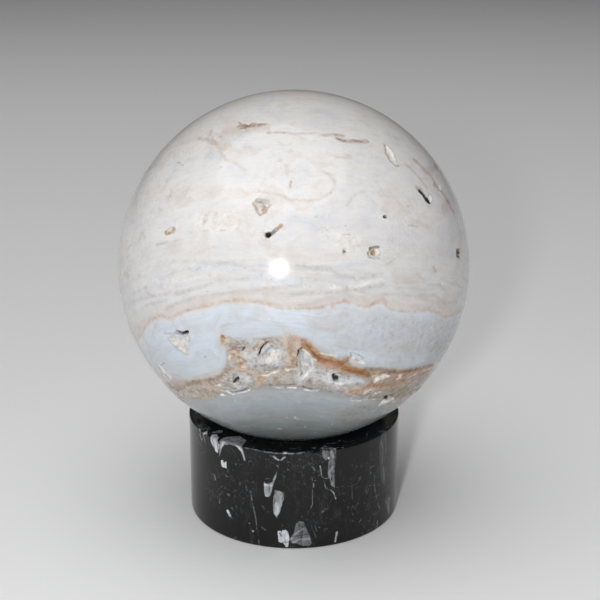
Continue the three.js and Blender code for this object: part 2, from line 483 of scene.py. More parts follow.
# broad and very soft
washes = [
    ("wash", 0.45, 4.0, [(-26.5, -42.6), (-36, -45.2), (-46.9, -45.6), (-60, -47.4), (-76, -46)]),
    ("wash", 0.5, 5.5, [(-24.5, -33), (-22, -36), (-20.4, -38.8), (-20.5, -41.6)]),
    ("wash", 0.45, 3.6, [(-23, -42), (-16, -44.4), (-9, -44.6), (-2, -44.4)]),
    ("wash", 0.8, 5.6, [(-1.4, -32.6), (-0.6, -36), (-0.4, -41)]),
    ("rose", 0.35, 4.0, [(-76, -41), (-70, -44), (-60, -44.6)]),
    ("tan", 0.8, 5.2, [(4, -35), (7, -37.4), (14, -40.4), (20, -42.4), (31, -44.2), (46, -43.2),
                       (60, -41), (74, -38.6)]),
    ("wash", 0.5, 5.5, [(29, -50.4), (38, -48.6), (50, -47.4), (62, -46)]),
    ("olive", 0.5, 9.0, [(46, -51), (60, -49.4), (76, -47)]),
    ("brown", 0.35, 8.0, [(56, -50), (66, -49), (78, -46)]),
    ("brown", 0.4, 5.0, [(44, -45.6), (58, -43.6), (74, -41)]),
    ("wash", 0.4, 4.0, [(-66, -50), (-50, -50.6), (-38, -49.6)]),
    ("brown", 0.3, 7.0, [(74, -42), (84, -41.5)]),
    ("rose", 0.4, 5.0, [(48, -44), (60, -42), (72, -39.6)]),
    ("pale", 0.85, 8.5, [(-11, -38.4), (-7.4, -38.4)]),
    ("pale", 0.8, 3.4, [(-17.6, -37.6), (-16.2, -40.4)]),
    ("pale", 0.9, 5.5, [(4.4, -39), (5, -43), (3.2, -46.6)]),
    ("pale", 0.8, 3.0, [(8, -43), (9.4, -47)]),
    ("pale", 0.95, 6.5, [(14.4, -45.4), (18, -46.8), (22, -47.6)]),
    ("ice", 0.8, 3.4, [(26, -46.6), (29.6, -46.4)]),
    ("ice", 0.5, 2.2, [(14, -36.4), (20, -36.2), (30, -38.6), (40, -39.4)]),
    ("pale", 0.8, 3.6, [(-25, -45.4), (-20.4, -46)]),
    ("pale", 0.7, 2.0, [(-33, -50), (-23, -48.8)]),
    ("ice", 0.5, 2.4, [(-30, -37), (-29, -34)]),
    ("pink", 0.25, 2.0, [(-75, -26.6), (-66, -25.4), (-57, -22.6), (-47, -22.4), (-38.6, -21.8),
                         (-29.5, -20.9)]),
    ("pink", 0.22, 2.2, [(-29.5, -21), (-15, -20.4), (-4, -22.8), (8.2, -22.6), (16, -20.4), (24, -21.4),
                         (28.6, -19.4), (34, -21.6), (50, -20)]),
    ("tan", 0.3, 4.4, [(-26, 34.5), (-11, 34.5)]),
    ("ice", 0.35, 3.0, [(-26, 31.5), (-17, 31.5)]),
    ("ice", 0.4, 4.5, [(-28.5, 25.5), (-25.5, 23.5)]),
    ("pink", 0.35, 3.6, [(-16, 27), (-13, 24.6)]),
    ("pink", 0.3, 2.6, [(-34, 36), (-30, 31), (-25, 27)]),
    ("cream", 0.4, 2.6, [(-75, 25), (-62, 18.6), (-52.4, 17.4), (-40.5, 15.5), (-33, 13.6), (-24, 12.4),
                         (-12, 9.7)]),
    ("white", 0.4, 9.0, [(-28, 3), (-18, 2)]),
    ("white", 0.4, 7.0, [(10, -2), (18, -4)]),
    ("rose", 0.3, 2.4, [(49.5, 23.2), (57.4, 26.5), (63.7, 29)]),
    ("pink", 0.4, 5.0, [(54, 10.5), (60, 15)]),
    ("tan", 0.25, 4.0, [(62, -4), (66, 6)]),
    ("brown", 0.22, 2.4, [(-28, -61.5), (-15, -61.5)]),
    # painted shade: the grey and dove washes from here on darken the right of the foot, the right side and
    # the left flank
    ("grey", 0.6, 16.0, [(42, -62), (75, -60)]),
    ("dove", 0.25, 13.0, [(-82, -24), (-79, -32), (-72, -40)]),
    ("dove", 0.3, 9.0, [(-83, -24), (-81, -32), (-75, -41)]),
    ("pink", 0.35, 7.0, [(-80, -26), (-79, -34), (-75, -42)]),
    ("dove", 0.14, 18.0, [(12, -29), (40, -30), (84, -26)]),
    ("dove", 0.14, 17.0, [(20, -30), (45, -30), (84, -26)]),
    ("dove", 0.14, 16.0, [(29, -30), (50, -30), (84, -26)]),
    ("dove", 0.14, 15.0, [(38, -31), (58, -30), (84, -26)]),
    ("grey", 0.3, 15.0, [(66, -33), (84, -28)]),
]
# soft streaks
veils = [
    ("pink", 0.75, 1.3, [(-75, -27.5), (-66, -26.3), (-57, -23.5), (-50, -22.6), (-43.6, -24),
                         (-38.6, -22.6), (-29.5, -21.7)]),
    ("pink", 0.5, 0.9, [(-58.6, -28), (-56, -26.3), (-53.6, -25)]),
    ("tan", 0.5, 1.1, [(-29.5, -21.7), (-20.5, -20.8), (-10.5, -21.6), (-3.2, -23.5), (5, -23.5)]),
    ("tan", 0.7, 0.7, [(5, -23.5), (9, -23)]),
    ("pink", 0.75, 1.4, [(12, -22.4), (15.5, -21), (18, -21.3)]),
    ("tan", 0.65, 0.7, [(19.5, -22.1), (24, -22.2)]),
    ("rose", 0.6, 1.1, [(24.6, -21.6), (26, -20.8), (28.6, -19.9), (29.8, -21)]),
    ("tan", 0.6, 0.8, [(30, -21.5), (33, -22.6), (40, -22.4)]),
    ("rose", 0.45, 1.3, [(42, -22), (49, -20.8), (55.5, -21.3), (60, -21.7), (68, -20), (75, -17.5)]),
    ("brown", 0.55, 1.6, [(-26.7, -42.2), (-29, -42.4), (-32.1, -44.6), (-36.3, -45.2), (-41.4, -45.9),
                          (-46.9, -45.6), (-52.3, -45.7), (-62, -47.3), (-70, -47.6)]),
    ("olive", 0.6, 1.3, [(-56, -46.6), (-46, -46.2), (-36, -45.6), (-31, -44.4)]),
    ("brown", 0.6, 1.6, [(-80, -45.6), (-66, -46.4)]),
    ("rose", 0.5, 1.4, [(-80, -43.5), (-69, -44)]),
    ("pink", 0.6, 2.4, [(-43, -47.6), (-40.5, -48)]),
    ("olive", 0.35, 1.8, [(-47.5, -51), (-38.5, -51.2)]),
    ("tan", 0.5, 2.0, [(-58, -52.5), (-46, -53.2)]),
    ("tan", 0.6, 3.6, [(-23.5, -38), (-20.6, -39), (-21.4, -41)]),
    ("tan", 0.8, 3.2, [(-14.3, -45.6), (-15.1, -48)]),
    ("tan", 0.8, 1.6, [(-7.4, -47.4), (-5, -47.5)]),
    ("tan", 0.5, 0.8, [(-21.4, -49.6), (-17.7, -49), (-13.9, -48.3)]),
    ("brown", 0.35, 2.6, [(-0.9, -32.4), (-1, -35), (-0.3, -37.8), (-0.3, -40.6), (-1.2, -42.1)]),
    ("rose", 0.4, 2.0, [(0.5, -32.3), (3.6, -33.4)]),
    ("rust", 0.8, 3.4, [(3.6, -34), (4.8, -35.2), (5.9, -36.1), (7.9, -37.4), (9.2, -38.6)]),
    ("rust", 0.8, 3.8, [(9.2, -38.9), (12.4, -39.6), (15.4, -40.1), (17.4, -41)]),
    ("rust", 0.9, 2.6, [(20.2, -38.8), (20, -40.2), (18, -40.7)]),
    ("rose", 0.6, 1.8, [(11.4, -41.3), (17.1, -41.5), (19.8, -42)]),
    ("rust", 1.0, 3.2, [(20.4, -42.1), (23.6, -42.7), (27.4, -43), (31.6, -43.8)]),
    ("brown", 0.7, 2.2, [(29.6, -42.2), (36.7, -41.8), (41.4, -42.1), (47, -42.1), (55.4, -40.6),
                         (62.6, -38.8), (71, -37)]),
    ("deepRust", 0.55, 1.8, [(50, -41.6), (58, -40.2), (66, -38.6), (74, -37)]),
    ("brown", 0.45, 1.8, [(64, -41.4), (72, -39.4)]),
    ("ochre", 0.75, 1.6, [(28, -51), (32.2, -50.1), (35.4, -48.2)]),
    ("rose", 0.5, 1.6, [(26.8, -52.6), (33.5, -51.6)]),
    ("rust", 0.7, 2.4, [(35.4, -48.2), (43.3, -47.5), (52.3, -46.1), (56, -45)]),
    ("tan", 0.6, 1.0, [(54, -46), (60, -44.9), (67, -44.7)]),
    ("slate", 0.3, 1.6, [(25, -48.6), (30, -47.6)]),
    ("tan", 0.4, 0.5, [(33, -37), (38, -36.5), (44, -37), (46, -38.6), (38, -39)]),
    ("rust", 0.8, 1.8, [(-20.8, 36.7), (-17.6, 36), (-14.4, 36.2)]),
    ("pink", 0.95, 2.0, [(-13.4, 36.2), (-10.6, 36.2)]),
    ("pink", 0.6, 0.7, [(-9.3, 35.2), (-8.8, 32)]),
    ("pink", 0.75, 1.1, [(-9, 32.4), (-3, 32.2), (0, 31.5), (8, 32.2)]),
    ("pink", 0.8, 1.7, [(9.3, 31.3), (14, 31.9), (17.5, 32)]),
    ("rust", 0.7, 1.5, [(14.9, 30.4), (17.1, 29.5), (19.3, 29.6), (23, 29.8), (26.4, 30.6)]),
    ("pink", 0.55, 0.8, [(-33.5, 37), (-30, 32), (-28, 30), (-25, 26), (-22.4, 22.8), (-18.5, 21),
                         (-15, 18.2)]),
    ("tan", 0.4, 0.8, [(-2.5, 19.6), (-2.1, 15.9)]),
    ("tan", 0.4, 0.9, [(8.2, 17.8), (10.4, 16.7), (12.3, 14.4), (11.9, 11.9), (9.3, 9.3), (6.4, 8.1),
                       (2.7, 7.8), (-1.4, 8.1), (-3.6, 9.6), (-8.4, 10.4), (-10.3, 11.1)]),
    ("tan", 0.3, 0.8, [(15.6, 7), (17.5, 10), (21.6, 11.9)]),
    ("tan", 0.3, 1.6, [(13.4, 22.6), (18.6, 23.3)]),
    ("tan", 0.35, 0.8, [(-26.8, 2.8), (-26.2, 4.8), (-25, 6), (-23.2, 5.2)]),
    ("tan", 0.35, 0.9, [(-55.5, 1.3), (-53.6, 3.6), (-51.6, 1.6)]),
    ("rust", 0.4, 1.8, [(41.8, 15.9), (44, 15.6)]),
    ("pink", 0.5, 1.2, [(45.8, 10.7)]),
    ("rose", 0.35, 1.6, [(61, 27), (64, 30)]),
    ("rose", 0.4, 2.6, [(46, 27), (52, 22), (57, 17), (62, 12)]),
    ("tan", 0.5, 1.4, [(40, 24), (44, 20.5), (47, 17)]),
    ("tan", 0.45, 1.8, [(-38, 34), (-33, 32.6), (-29, 30.4)]),
    ("rose", 0.4, 1.2, [(-30, 34.6), (-27, 32.4)]),
    ("olive", 0.2, 0.6, [(-30, -9), (-24, -9.9), (-18, -9.2), (-14, -9.8)]),
    ("olive", 0.25, 0.8, [(-56, -18.5), (-44, -18.5)]),
    ("olive", 0.25, 0.7, [(1, -11), (6, -12.2), (11.8, -12.6)]),
    ("pink", 0.3, 1.2, [(16, -11.7), (24.5, -13)]),
    ("pink", 0.35, 0.9, [(20.9, -17.2), (27.7, -15.6)]),
    ("tan", 0.35, 0.9, [(-39.5, -17.6), (-34, -16.7)]),
    ("olive", 0.3, 1.6, [(-53.2, -13.3)]),
    ("ochre", 0.25, 3.0, [(-68, -7), (-64.5, -8)]),
    ("dove", 0.4, 1.2, [(2.8, -11.5), (9.6, -11.4), (13.9, -13.9), (19, -14.6), (27, -12.4)]),
    ("dove", 0.45, 1.4, [(-1, -19.4), (6, -18.7), (13, -18.5), (20, -17.2), (27.5, -15.7)]),
    ("white", 0.6, 1.6, [(11, -16.9), (18.5, -16.9), (22, -15.4), (27.3, -14)]),
    ("white", 0.5, 0.7, [(47.7, -15.6), (56.7, -14.3), (63.7, -13.3), (57.4, -12.1), (45.5, -12.4)]),
    ("tan", 0.3, 0.8, [(-35, -8.2), (-30, -8.2), (-22.3, -9.4), (-18, -10), (-13.2, -11.9), (-9, -12.7)]),
    ("ice", 0.5, 2.0, [(-32.7, -10.5), (-23.2, -10.6), (-16, -11.8), (-3.7, -15.5), (2, -15.5)]),
    ("dove", 0.45, 1.2, [(-45, -20.8), (-31.6, -18.7), (-21, -18.5), (-10.7, -17.9), (2, -16.8)]),
    ("dove", 0.4, 1.0, [(-63.6, -16.2), (-43.6, -16.8), (-29.4, -16.2), (-23.6, -14.6), (-13.3, -14.5)]),
    ("white", 0.45, 1.3, [(-60, -12.5), (-48, -12), (-36, -13.6), (-24, -12.8)]),
    ("dove", 0.4, 0.9, [(4, -14.6), (12, -15.8), (24, -18.6), (36, -17.6), (52, -18.4), (66, -16)]),
    ("grey", 0.25, 0.8, [(40, -11), (46, -13.6), (52, -12.8), (58, -15)]),
    ("grey", 0.25, 0.8, [(43, -17), (50, -16), (57, -17.4)]),
    ("slate", 0.3, 0.7, [(8, -36.2), (14, -36.8), (19, -35.4), (27, -35.8)]),
    ("slate", 0.3, 0.7, [(52, -40), (62, -37), (72, -34.6)]),
]
# small and sharper
# black and umber in the slits and holes are dark stain and painted shade of their depths
# white on the lower lips of pockets and on the flakes is white calcite and painted highlight
marks = [
    # painted shadow trailing from the top slit
    ("grey", 0.45, 1.0, [(-50, -28.1), (-46, -28.8), (-44, -28.6)]),
    ("black", 0.97, 1.3, [(-43.2, -28.3), (-42, -29), (-40.6, -29.2), (-39, -28.9)]),
    ("cream", 0.5, 3.4, [(-47.6, -31), (-42.4, -32.6)]),
    ("grey", 0.3, 0.9, [(-47, -30), (-40, -30.1)]),
    ("cream", 0.6, 1.6, [(-44.4, -34), (-42.6, -36)]),
    ("tan", 0.3, 0.6, [(-49.8, -30.6), (-47.6, -33.2), (-45, -35.8)]),
    ("brown", 0.5, 0.8, [(-35.2, -37.3)]),
    ("white", 0.9, 3.6, [(-67.6, -38.6), (-65.6, -42)]),
    ("brown", 0.5, 0.6, [(-66.5, -38), (-60.5, -37.3)]),
    ("white", 0.8, 1.0, [(-76.5, -49.3), (-72.5, -49.3)]),
    ("white", 0.8, 0.8, [(-38.8, -52.3), (-36.4, -52.3)]),
    ("white", 0.7, 1.0, [(-36.6, -48), (-35.4, -48)]),
    ("grey", 0.55, 1.2, [(-59.5, -49), (-56.5, -49)]),
    ("olive", 0.5, 0.7, [(-65, -52), (-56, -52)]),
    ("ochre", 0.8, 1.9, [(-25.1, -31.3), (-25.7, -32.9)]),
    ("deepRust", 0.7, 0.8, [(-25.1, -31.1), (-24.4, -31.7)]),
    ("grey", 0.8, 0.6, [(-22.6, -31.5), (-20.8, -32.7), (-19, -33.9), (-17.9, -35.1), (-18.8, -36.1)]),
    ("umber", 0.85, 0.7, [(-18.7, -34.5), (-17.9, -35.1), (-18.8, -36.1)]),
    ("grey", 0.8, 0.7, [(-25, -34), (-23.8, -33.7), (-20.6, -33.9)]),
    ("grey", 0.7, 1.4, [(-22.9, -35.1), (-21.4, -35.2)]),
    ("brown", 0.6, 0.5, [(-24.9, -36), (-22.7, -35.6), (-19.4, -36.1)]),
    ("brown", 0.55, 0.7, [(-22.2, -38.9), (-20.3, -38.3), (-18.8, -39.8), (-21.7, -40.7)]),
    ("cream", 0.8, 0.8, [(-20.5, -39.4)]),
    ("cream", 0.7, 1.1, [(-24.4, -37.6), (-25, -38.2)]),
    ("white", 0.6, 0.9, [(-20.6, -41.8), (-19, -41.6)]),
    ("brown", 0.6, 0.5, [(-17.5, -36.3), (-15.6, -36.1), (-13.8, -34.8), (-11.8, -33.5), (-9.7, -32.4),
                         (-7, -32.3), (-5.1, -33.2)]),
    ("pink", 0.7, 1.0, [(-17, -36.7), (-14.6, -35.8), (-12.8, -34.5), (-10.8, -33.3), (-8.6, -32.9)]),
    ("cream", 0.6, 2.2, [(-10.4, -39.8), (-6.6, -38.2)]),
    ("white", 0.5, 1.2, [(-8.6, -38), (-6, -36.6)]),
    ("slate", 0.75, 1.3, [(-12.1, -38.6), (-10.1, -37.1), (-8, -35.4)]),
    ("slate", 0.5, 0.6, [(-7, -34.6), (-5.2, -35.9)]),
    ("black", 0.95, 0.55, [(-13.3, -38.1), (-12.5, -36.6), (-11.1, -35.2), (-9.2, -33.8)]),
    ("brown", 0.6, 0.6, [(-12.6, -35.6), (-11.2, -34.2)]),
    ("cream", 0.6, 0.7, [(-11.6, -33), (-10.8, -33.4)]),
    ("umber", 0.7, 0.6, [(-2.2, -42.3)]),
    ("cream", 0.7, 0.7, [(-0.4, -37.4), (0.4, -38.2)]),
    ("pink", 0.7, 0.9, [(-1.4, -36.2), (-0.4, -39.4)]),
    ("brown", 0.5, 0.5, [(-1.9, -35.6), (-0.9, -36.6), (-1.7, -37.6)]),
    ("brown", 0.5, 0.5, [(0.4, -39), (-0.8, -40.2), (0.2, -41.2)]),
    ("slate", 0.55, 1.3, [(2.9, -37.6), (3.4, -40.4)]),
    ("slate", 0.35, 1.6, [(5, -40), (6.4, -41.4)]),
    ("white", 0.85, 0.6, [(3.2, -36), (6.1, -38.3), (8.2, -39.8)]),
    ("white", 0.8, 0.6, [(7.7, -41.6), (6.7, -43.5), (3.8, -46.2)]),
    ("brown", 0.8, 0.6, [(1, -38.5), (1.1, -41.9)]),
    ("umber", 0.9, 0.6, slitShapes["wedgeEdge"][0]),
    ("black", 0.9, 0.7, [(3.1, -45)]),
    ("grey", 0.7, 0.8, [(4.2, -47.3)]),
    ("umber", 0.85, 0.7, [(4.3, -49.5)]),
    ("brown", 0.5, 0.7, [(-26.4, -43.9), (-24.6, -44.2)]),
    ("grey", 0.6, 1.5, [(-26, -44.8), (-25, -45.4)]),
    ("black", 0.97, 1.0, [(-27.2, -47.2), (-24.3, -46)]),
    ("white", 0.8, 0.7, [(-27.4, -47.8), (-25.4, -47.6)]),
    ("brown", 0.5, 0.45, [(-22.8, -43.3), (-19.7, -43.4), (-18.1, -44.9), (-17.3, -46.5)]),
    ("grey", 0.8, 0.5, slitShapes["crackedLine"][0]),
    ("white", 0.8, 0.7, [(-13.5, -44.9), (-11.2, -45.2), (-9.3, -44.3), (-6.6, -43.6)]),
    ("cream", 0.9, 1.2, [(-3.1, -42.9), (-2.7, -43.3)]),
    ("brown", 0.7, 0.45, [(-2.3, -42.3), (0.2, -42.1)]),
    ("white", 0.7, 0.5, [(-2.2, -43.1), (0.3, -42.9)]),
    ("umber", 0.75, 0.4, slitShapes["leftSlit"][0]),
    ("umber", 0.9, 0.55, [(-31.6, -50.7), (-30.2, -51.4), (-28.5, -51), (-25.4, -50.8), (-21.5, -49.8)]),
    ("white", 0.85, 0.6, [(-35.9, -50.2), (-33.1, -50.8), (-31.4, -52), (-27.8, -51.7), (-24.4, -51.3),
                          (-21.4, -50.5)]),
    ("umber", 0.6, 0.4, slitShapes["footSlit"][0]),
    ("white", 0.8, 0.6, [(-7.8, -49.8), (-4.9, -50)]),
    ("white", 0.85, 0.6, [(-3, -49.9), (0.9, -50.1)]),
    ("umber", 0.7, 0.45, slitShapes["rightSlit"][0]),
    ("white", 0.85, 0.6, [(5, -50.6), (8, -51.2), (11.4, -50.9)]),
    ("rose", 0.7, 0.6, [(6, -49.4), (9.6, -49)]),
    ("umber", 0.6, 0.7, [(13, -50.7)]),
    ("deepRust", 0.75, 0.9, [(4.6, -34.6), (5.6, -35.4)]),
    ("ochre", 0.7, 0.8, [(6.6, -36), (8.6, -37.4)]),
    ("deepRust", 0.65, 1.2, [(21.4, -42.6), (26, -43.2), (30, -43.6)]),
    ("deepRust", 0.6, 0.9, [(6.4, -36.8), (8.4, -38.2), (11.6, -39.4), (15, -40)]),
    ("umber", 0.5, 0.5, [(5.2, -35.4), (7, -37.4), (9, -38.8)]),
    ("ochre", 0.55, 0.8, [(10, -38.4), (13, -39)]),
    ("white", 0.6, 0.5, [(9.6, -37.2), (13, -37.8), (16, -38)]),
    # the recess's white lower lip and slate top are partly painted highlight and painted shade
    ("white", 0.9, 1.1, [(22.1, -38.9), (24.8, -39.5), (28.2, -40)]),
    ("slate", 0.8, 0.9, [(21.4, -36.8), (24, -37.4), (26.6, -38.2)]),
    ("black", 0.98, 1.5, [(17, -45.6), (17.6, -46.4), (19.2, -46.6)]),
    ("umber", 0.6, 0.4, [(18.1, -44.7), (22.4, -46.1)]),
    ("slate", 0.6, 1.0, [(20.8, -46.4), (22.6, -46.8)]),
    ("white", 0.9, 0.6, [(18.2, -47.7), (21.4, -48.3), (23.5, -47.9)]),
    ("umber", 0.85, 0.45, [(32.6, -44.1), (36.5, -44.4), (41, -42.9)]),
    ("white", 0.9, 1.4, [(37.6, -46.2), (43.4, -44)]),
    ("cream", 0.7, 0.8, [(34, -45.2), (36.6, -45.4)]),
    ("brown", 0.5, 0.7, [(44.5, -38)]),
    ("white", 0.9, 0.7, [(36.3, -51.8), (38.8, -49.9)]),
    ("white", 0.9, 0.7, [(42.5, -52.2), (45.9, -50.4)]),
    ("white", 0.8, 1.1, [(55, -56), (59.2, -54), (61.9, -52.4)]),
    ("white", 0.9, 0.8, [(69.3, -52.4), (67.1, -49.7)]),
    ("white", 0.95, 1.2, [(72.3, -48.3), (75.4, -46.1)]),
    ("white", 0.9, 1.0, [(76.6, -56.1), (80.3, -54.4)]),
    ("white", 0.7, 0.6, [(57.3, -43.3), (60.9, -41.6)]),
    ("cream", 0.7, 0.5, [(64.8, -40.8), (72.5, -37.6)]),
    ("white", 0.7, 0.6, [(-71.5, -41), (-69, -44)]),
    ("white", 0.8, 0.5, [(31, -54.9), (37.3, -54.6)]),
    ("white", 0.8, 0.5, [(39, -54.2), (41.4, -53.9)]),
    ("white", 0.8, 0.5, [(43.2, -54), (46.1, -53.4)]),
    ("white", 0.7, 0.5, [(49.4, -43.4), (50.6, -42.8), (51.6, -44), (50.2, -45), (49.2, -44.2)]),
    ("umber", 0.7, 0.6, [(50.4, -43.9)]),
    ("slate", 0.6, 2.6, [(54.6, -52.6), (59.6, -52.8)]),
    ("black", 0.98, 2.2, [(56.8, -53.1), (58, -53.2)]),
    ("umber", 0.6, 0.5, [(52.4, -51.4), (57, -50.4)]),
    ("white", 0.5, 0.6, [(75.5, -31.3), (82, -31.3)]),
    ("white", 0.5, 0.6, [(-5, -64.5)]),
    ("white", 0.6, 0.7, [(-16, -72), (-13, -72.4)]),
    ("umber", 0.5, 0.6, [(3, -69.5)]),
    ("white", 0.6, 0.7, [(10, -70.5)]),
    ("umber", 0.5, 0.6, [(-8, -74)]),
    ("brown", 0.5, 0.5, [(-21.6, -20.6), (-20.6, -20.6)]),
    ("brown", 0.4, 0.5, [(-18.9, -20.4), (-18.2, -20.4)]),
    ("umber", 0.6, 0.6, [(-20.2, 35.3), (-17.8, 35.3)]),
    ("brown", 0.75, 0.5, [(-22, 38.6), (-20.5, 37.8), (-17.4, 36.7), (-15.8, 37.8), (-14.3, 37.3),
                          (-10.8, 36.9)]),
    ("rose", 0.6, 0.7, [(-6.2, 32.3)]),
    ("rose", 0.5, 0.7, [(-3.3, 32)]),
    ("brown", 0.6, 0.4, [(20.4, 30.4), (23, 30.6), (26.4, 31.4)]),
    ("brown", 0.4, 0.4, [(14.9, 30.2), (18, 29.2)]),
    ("white", 0.5, 0.7, [(14.5, 28.5), (18, 28.3)]),
    ("grey", 0.4, 0.6, [(10.4, 29.3)]),
    ("grey", 0.4, 0.6, [(6.7, 28.7)]),
    ("tan", 0.4, 0.4, [(-5.4, 28.6), (-4, 27), (-1.4, 27), (-0.4, 28.6)]),
    ("brown", 0.4, 0.8, [(-21.6, 27.8)]),
    ("pink", 0.6, 0.9, [(-24.3, 29)]),
    ("pink", 0.6, 0.7, [(-43.5, 25.5), (-41.2, 24.4)]),
    ("grey", 0.45, 0.7, [(-40.4, 23.8), (-39.2, 23.2)]),
    ("olive", 0.35, 1.1, [(-23.5, 20.2)]),
    ("olive", 0.35, 1.2, [(-41.2, 13)]),
    ("olive", 0.3, 1.1, [(-45, 18.6)]),
    ("white", 0.5, 1.6, [(-42, 38)]),
    ("brown", 0.4, 0.6, [(-4.4, 20.7)]),
    ("rust", 0.45, 0.9, [(-1, 14), (-1, 12)]),
    ("rust", 0.35, 0.9, [(10.8, 10.4)]),
    ("tan", 0.7, 0.9, [(-12.1, 7.2), (-11, 5.2), (-9.9, 3.5), (-8.1, 4.5)]),
    ("grey", 0.6, 1.2, [(-10.8, 7.9), (-8.2, 7.6)]),
    ("wash", 0.85, 2.8, [(-9.2, 6.4), (-8.6, 5.4)]),
    # painted highlight: a pale glint in the rimmed pit
    ("cream", 0.6, 1.0, [(-8, 5.8)]),
    ("black", 0.98, 1.8, [(-7.6, -2.3), (-7.1, -2)]),
    ("umber", 0.75, 1.3, [(-6.6, -1.9), (-5.8, -1.3)]),
    ("tan", 0.85, 1.5, [(-5.2, -0.8), (-3.6, 0.5)]),
    ("ochre", 0.45, 0.6, [(-8.6, -2), (-8, -3.6)]),
    ("ochre", 0.85, 1.3, [(-41.6, 1.6), (-39.8, 1.2), (-38.6, 2.4)]),
    ("cream", 0.6, 0.9, [(-40.2, 2)]),
    ("grey", 0.4, 0.7, [(-21.6, -0.2), (-20, -0.2)]),
    ("grey", 0.25, 1.1, [(-45.5, -1.5), (-41, -1.5)]),
    ("grey", 0.25, 1.0, [(-49, -0.2)]),
    ("tan", 0.6, 1.5, [(14.7, -6.7)]),
    ("brown", 0.75, 0.9, [(14.6, -6.8)]),
    ("ochre", 0.85, 2.6, [(24, -6.6)]),
    ("cream", 0.6, 1.2, [(24.8, -7.2)]),
    ("olive", 0.9, 1.4, [(22.6, -5.4), (25, -4.8)]),
    ("tan", 0.7, 0.8, [(21.8, -6.6), (22.6, -8)]),
    ("tan", 0.35, 0.9, [(28.2, -9.3), (31, -7.8)]),
    ("black", 0.99, 1.5, [(27.6, 4.6)]),
    ("umber", 0.5, 0.5, [(-27.3, -17.5)]),
    ("umber", 0.5, 0.5, [(3.4, -16.6)]),
    ("grey", 0.3, 0.9, [(14.9, 0.7)]),
    ("grey", 0.35, 0.6, [(16.4, -2), (14.2, -1.8)]),
    ("ochre", 0.3, 1.2, [(6.4, 3)]),
    ("tan", 0.8, 0.7, [(33.4, 30.7), (32.5, 27), (33, 24), (34.9, 22.2), (36.4, 22.6)]),
    ("cream", 0.8, 1.6, [(35, 28.6), (35, 26.4)]),
    ("white", 0.6, 0.6, [(35.3, 32.8), (37.4, 34.8)]),
    ("white", 0.7, 0.8, [(40, 36.3)]),
    ("black", 0.98, 1.3, [(43.2, 15.2), (45, 13.6), (46.6, 11.8)]),
    ("white", 0.5, 1.0, [(48.4, 14.6), (48.6, 13)]),
    ("white", 0.5, 1.2, [(52, 18.2), (56.4, 18.6)]),
    ("olive", 0.5, 0.8, [(53.6, 19.8), (55, 19.6)]),
    ("ochre", 0.5, 0.8, [(60.2, -0.4), (60.4, -2.6)]),
    # the side pit's umber side and cream right edge are partly painted shade and painted highlight
    ("umber", 0.9, 1.3, [(62.8, 0), (63.4, -0.9), (63, -2.2)]),
    ("cream", 0.7, 0.9, [(65.6, -0.2), (65.6, -2)]),
    ("brown", 0.3, 1.6, [(63.7, 8.6)]),
    ("tan", 0.3, 1.2, [(33.8, 11.5)]),
    ("grey", 0.3, 1.2, [(36.4, 8.9)]),
    ("brown", 0.3, 0.7, [(36, 3), (40, 3)]),
    ("brown", 0.35, 0.8, [(47, -8), (48.7, -9.3)]),
    ("ochre", 0.35, 0.7, [(18.2, -14)]),
    ("pink", 0.4, 0.9, [(-52.6, -15.2), (-50.4, -16.3)]),
    ("ochre", 0.35, 0.7, [(-22.3, -14.2)]),
    ("tan", 0.35, 0.7, [(-29, -27.6)]),
]
stainGroups = [(2.0, washes), (0.9, veils), (0.4, marks)]  # each with how far it fades, in millimetres

# The ball's mesh and how it is worked, millimetres
ballBuild = {
    "startLevel": 6,
    "startEdge": 3.1,
    "margin": 0.6,  # fine mesh reaches this share of an edge beyond what calls for it
    "passes": 3,
    "plainEdge": 9.0,
    "bandLevels": (-53, -40),
    "bandRound": 95,  # degrees to either side of the front
    "bandEdge": 1.2,
    "edgePerSoft": 0.85,  # share of the distance over which a stain fades
    "markEdge": 0.35,
    "pocketEdge": 0.35,
    "pocketRim": 0.3,  # pocketEdge holds from this far outside a pocket
    "polishEnd": -0.25,  # farther out than this the shading is a true ball's
    "stray": 0.4,  # how far outlines and stains wander from their tables
    "strayFineness": 0.6,
    "crystal": 1.3,  # across a crystal in a pocket
    "crystalRise": 0.2,
    "crystalDepth": 0.8,  # the depth at which crystals stand to their full height
}
edgeSlack = 1.3  # an edge is cut when it is this many times as long as wanted
pocketForm = {
    "reach": 3.0,  # how far round a pocket its field is worked out
    "wallLean": 0.6,  # how much narrower the wall gets toward the deepest side
    "floorLean": 0.25,  # and how much the floor drops toward it
    "slitWall": 0.45,  # the share of a slit's width that slopes
}


def allPockets():
    return list(pocketShapes.values()) + hiddenPockets() + bandPits()


